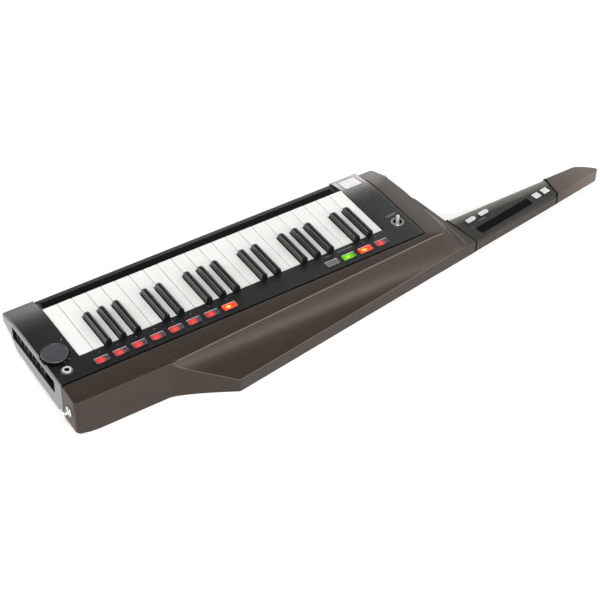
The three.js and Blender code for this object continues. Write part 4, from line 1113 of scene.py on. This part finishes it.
# Each lamp: reach of its glow, tones at the cap's edge, in the glow and at its middle, and strength
LAMPS = {
    "lit": ((17.0, 12.0), RED, ORANGE, YELLOW, 0.75),
    "green": ((12.0, 9.0), DARK_GREEN, GREEN, LIGHT_GREEN, 0.55),
    "dim": ((7.4, 5.6), SMOKE, RED, LIGHT_RED, 0.24),
    "off": ((1.0, 1.0), PALE_SMOKE, PALE_SMOKE, PALE_SMOKE, 0.0),
}
CAP_ROWS = {
    "program": (PROGRAM_CAPS, ["dim"] * 7 + ["lit"]),
    "function": (FUNCTION_CAPS, ["off", "green", "lit", "dim"]),
}


def make_caps():
    for group, (places, kinds) in CAP_ROWS.items():
        body = f"{group}_buttons"
        low, high = span(body)
        for number, (x, kind) in enumerate(zip(places, kinds), 1):
            name = f"{group}_cap_{number}"
            cap = slab(name, CAP_LENGTH, CAP_WIDTH, low.z + 0.8, high.z, 1.0, (x, CAP_Y, 0), edge=0.9)
            lamp = (x + LAMP_X, LAMP_Y, PROGRAM_HIGH.z)
            FINISHES[name] = glowing(name, lamp, CAP_HIGHLIGHT_Y, *LAMPS[kind])
            placed(shaded(cap), body, "button_red", finish=name)
        length, width = high.x - low.x, high.y - low.y
        place = ((low.x + high.x) / 2, CAP_Y, 0)
        strip = slab(f"{group}_strip", length, width, low.z, low.z + 1.2, 0.8, place, edge=0.3)
        placed(shaded(strip), body, "button_red", body, finish="ribbon_film")


# Keys: the black ones have a rounded top that falls to a rounded tip
WHITE_COUNT = 22
BLACK_COUNT = 15
BLACK_SPLIT = 51.6
BLACK_SHOULDER_LOW = 55.5
BLACK_REAR = KEYS_REAR + 0.3
BLACK_TIP_REACH = 6.0
BLACK_TIP_FALL = 6.5
BLACK_CROWN_POWER = 0.8


def black_key(number):
    node = f"black_key_{number:02d}"
    low, high = span(node)
    x = (low.x + high.x) / 2
    half = (high.x - low.x) / 2
    tip = high.y - BLACK_TIP_REACH
    places = [(low.y, BLACK_SPLIT), (BLACK_REAR, BLACK_SPLIT), (BLACK_REAR, high.z)]
    places += [(mixed(BLACK_REAR, tip, share), high.z) for share in (0.02, 0.5, 1.0)]
    rings = [cross_section(x, half, y, low.z, top, 0.0) for y, top in places]
    for angle in quarter_turn(10)[1:]:
        drop = 1 - math.cos(angle)
        y = high.y - BLACK_TIP_REACH * (1 - math.sin(angle))
        rings.append(cross_section(x, half, y, low.z, high.z - BLACK_TIP_FALL * drop, drop))
    key = shaded(lofted(f"black_key_top_{number:02d}", rings), 35.0)
    placed(key, node, "black_key", node)


def cross_section(x, half, y, low, top, narrowing):
    """A black key's outline across X, which grows narrower toward its tip."""
    base = half - 1.4 * narrowing
    crown = half - 0.9 - 1.6 * narrowing
    shoulder = min(3.0, (top - low) * 0.3)
    right = [(base, low), (base, min(top - shoulder - 0.4, BLACK_SHOULDER_LOW))]
    for angle in quarter_turn(8)[:-1]:
        right.append((crown * math.cos(angle) ** BLACK_CROWN_POWER, top - shoulder * (1 - math.sin(angle))))
    left = [(-reach, height) for reach, height in reversed(right)]
    return [(x + reach, y, height) for reach, height in [*right, (0.0, top), *left]]


def soft_copy(name, node, body, slot, width, segments=3, angle=1.0):
    """A CAD node that only needs rounded edges."""
    placed(softened(copied(name, node, angle), width, segments), body, slot, node)


def soft_copies():
    for number in range(1, WHITE_COUNT + 1):
        node = f"white_key_{number:02d}"
        soft_copy(f"white_key_top_{number:02d}", node, node, "white_key", 0.6)
    soft_copy("case_shell", "lower_case", "body", "case_black", 0.6)
    soft_copy("neck_top", "neck_panel", "body", "neck_panel_black", 0.4, angle=0.0)
    for node in ("octave_down_button", "octave_up_button", "neck_inner_button", "neck_outer_button"):
        soft_copy(f"{node}_top", node, node, "button_white", 0.5)
        button_shade_rim(node)
    for node in ("long_ribbon", "short_ribbon"):
        soft_copy(f"{node}_film", node, "body", "ribbon_film", 0.15, segments=2)


WELL_GROWTH = (2.8, 2.6)
WELL_DEPTH = 1.0
WELL_HEIGHT = 1.12


def button_shade_rim(node):
    """A thin dark rim on the neck's panel round one button: painted shade round the button's edge."""
    low, high = span(node)
    center = (low + high) / 2
    size = high - low
    rim = copied(f"{node}_well", node, 0.0)
    for vertex in rim.data.vertices:
        spot = vertex.co / MM
        x = center.x + (spot.x - center.x) * (size.x + WELL_GROWTH[0]) / size.x
        y = center.y + (spot.y - center.y) * (size.y + WELL_GROWTH[1]) / size.y
        z = NECK_HIGH.z - WELL_DEPTH + (spot.z - low.z) / size.z * WELL_HEIGHT
        vertex.co = Vector((x, y, z)) * MM
    placed(rim, "body", "panel_black", finish="dark_gap")


# Strap pins: radius and distance from the wood, from the stem inside it to the head
PIN_PROFILE = [
    (0.0, -6.0), (3.6, -6.0), (3.6, 0.0), (6.3, 0.0), (6.5, 0.3), (6.3, 0.8), (5.2, 1.2),
    (4.1, 1.6), (3.6, 2.4), (3.6, 6.2), (4.0, 7.0), (5.2, 7.6), (6.2, 7.9), (6.5, 8.4),
    (6.4, 9.0), (5.8, 9.5), (4.0, 9.6), (3.0, 9.3), (1.0, 9.2), (0.0, 9.2),
]


def make_pins():
    for node, side in (("tail_strap_pin", -1.0), ("shoulder_strap_pin", 1.0)):
        low, high = span(node)
        root = high.x if side < 0 else low.x
        center = (root, (low.y + high.y) / 2, (low.z + high.z) / 2)
        pin = turned(f"{node}_stud", [(r, side * h) for r, h in PIN_PROFILE], center, "X")
        placed(pin, "body", "chrome", node)


# Printed marks: thin pale paint on the panel and the neck, as centre, length, width and turn in degrees
PANEL_MARKS = [
    (-225.7, -12.3, 2.6, 1.0, 62.0),
    (-232.8, -46.2, 2.2, 0.9, -50.0),
    (-242.8, -48.6, 9.5, 0.9, 1.0),
    (155.8, -54.2, 23.0, 0.8, 0.0),
    (130.0, -54.6, 9.0, 0.8, 0.0),
    (204.5, -54.4, 1.6, 0.9, 0.0),
    (246.0, -28.4, 17.0, 0.8, 3.0),
    (245.0, -30.6, 13.0, 0.7, 3.0),
]
NECK_MARKS = [(372.8, -64.0, 13.0, 0.7, 7.95), (351.6, -71.0, 1.4, 0.8, 7.95)]
MARK_RISE = 0.06
DOT_Y = -54.9
DOT_SHIFT = 2.4


def make_marks():
    marks = PANEL_MARKS + [(x + DOT_SHIFT, DOT_Y, 1.3, 1.0, 0.0) for x in PROGRAM_CAPS]
    rows = [(mark, PANEL_TOP) for mark in marks] + [(mark, NECK_HIGH.z) for mark in NECK_MARKS]
    for number, ((x, y, length, width, turn), level) in enumerate(rows, 1):
        name = f"printed_mark_{number:02d}"
        mark = slab(name, length, width, -0.2, MARK_RISE, width * 0.3, (0, 0, 0))
        mark.data.transform(Matrix.Rotation(math.radians(turn), 4, "Z"))
        mark.data.transform(Matrix.Translation(Vector((x, y, level)) * MM))
        placed(mark, "body", "ribbon_film", finish="print_paint")


make_marks()
make_window()
make_knob()
make_phones()
make_toggle()
make_caps()
for number in range(1, BLACK_COUNT + 1):
    black_key(number)
soft_copies()
make_pins()


def facing(place, back):
    """Where a camera or lamp stands whose back is turned one way."""
    return Matrix.Translation(place) @ back.to_track_quat("Z", "Y").to_matrix().to_4x4()


# Camera, found from the photograph: places in metres, angles in degrees
IMAGE_WIDTH = 600
FOCAL_PIXELS = 1757.8
SENSOR = 36.0
CAMERA_PLACE = Vector((-0.8436, -1.4201, 1.5169))
CAMERA_TARGET = Vector((0.056549, -0.102745, 0.0555))
CAMERA_ROLL = 1.7466


def make_camera():
    data = bpy.data.cameras.new("camera")
    data.sensor_width = SENSOR
    data.lens = FOCAL_PIXELS / IMAGE_WIDTH * SENSOR
    data.clip_start = 0.05
    data.clip_end = 50.0
    camera = bpy.data.objects.new("camera", data)
    bpy.context.scene.collection.objects.link(camera)
    roll = Matrix.Rotation(math.radians(CAMERA_ROLL), 4, "Z")
    camera.matrix_world = facing(CAMERA_PLACE, (CAMERA_PLACE - CAMERA_TARGET).normalized()) @ roll
    bpy.context.scene.camera = camera


# Floor: pale and diffuse, and white to the camera and in reflections
FLOOR_HALF = 20.0
FLOOR_DROP = 0.0005


def make_floor():
    mesh = bpy.data.meshes.new("floor")
    half = FLOOR_HALF
    corners = [(-half, -half, 0), (half, -half, 0), (half, half, 0), (-half, half, 0)]
    mesh.from_pydata(corners, [], [(0, 1, 2, 3)])
    floor = add_object("floor", mesh)
    floor.location.z = -FLOOR_DROP
    finish = bpy.data.materials.new("floor")
    finish.use_nodes = True
    finish.node_tree.nodes.clear()
    nodes = Nodes(finish.node_tree)
    diffuse = nodes.add("ShaderNodeBsdfDiffuse", Color=grey(0.8)).outputs[0]
    glow = nodes.add("ShaderNodeEmission", Strength=0.3).outputs[0]
    path = nodes.add("ShaderNodeLightPath").outputs
    seen = nodes.calculated("MAXIMUM", path["Is Camera Ray"], path["Is Glossy Ray"])
    seen = nodes.calculated("MAXIMUM", seen, path["Is Transmission Ray"])
    both = nodes.feed_all(nodes.add("ShaderNodeAddShader"), diffuse, glow)
    choice = nodes.feed_all(nodes.add("ShaderNodeMixShader"), seen, diffuse, both)
    nodes.add("ShaderNodeOutputMaterial", Surface=choice)
    floor.data.materials.append(finish)


# World: strength of the light by height, from straight down to straight up
WORLD_LEVELS = [(0.0, 1.2), (0.38, 1.25), (0.48, 0.7), (0.58, 0.2), (0.68, 0.12), (1.0, 0.12)]


def make_world():
    """A studio that is bright near the horizon and dim overhead."""
    world = bpy.data.worlds.new("studio")
    bpy.context.scene.world = world
    world.use_nodes = True
    nodes = Nodes(world.node_tree)
    background = world.node_tree.nodes["Background"]
    height = nodes.along(nodes.place("Generated"), "Z")
    stops = [(place, grey(level)) for place, level in WORLD_LEVELS]
    nodes.feed(background.inputs["Color"], nodes.ramp(height, stops))
    background.inputs["Strength"].default_value = 1.0


# Soft lamps: direction from the object, distance, width and height in metres, power in watts
AIM = Vector((0.05, -0.03, 0.04))


def softbox(name, direction, distance, width, height, power):
    data = bpy.data.lights.new(name, "AREA")
    data.shape = "RECTANGLE"
    data.size = width
    data.size_y = height
    data.energy = power
    lamp = bpy.data.objects.new(name, data)
    bpy.context.scene.collection.objects.link(lamp)
    out = Vector(direction).normalized()
    lamp.matrix_world = facing(AIM + out * distance, out)


# CAD nodes that keep their shape
for part in frame["record"]["subparts"]:
    node = frame["nodes"][part["node"]]
    node.data.materials.clear()
    node.data.materials.append(FINISHES[part["material_slot"]])

make_camera()
make_floor()
make_world()
softbox("key_softbox", (-0.35, -0.55, 0.76), 2.4, 1.6, 1.6, 44.0)
softbox("front_softbox", (0.4, -0.8, 0.34), 2.0, 1.8, 0.7, 15.0)
softbox("far_softbox", (0.48, 0.82, 0.28), 2.0, 1.3, 0.6, 10.0)
softbox("right_softbox", (0.85, 0.36, 0.6), 2.0, 1.0, 0.8, 3.0)
softbox("left_softbox", (-0.68, 0.63, 0.33), 2.0, 1.2, 0.6, 13.0)
bpy.context.scene.view_settings.view_transform = "Standard"
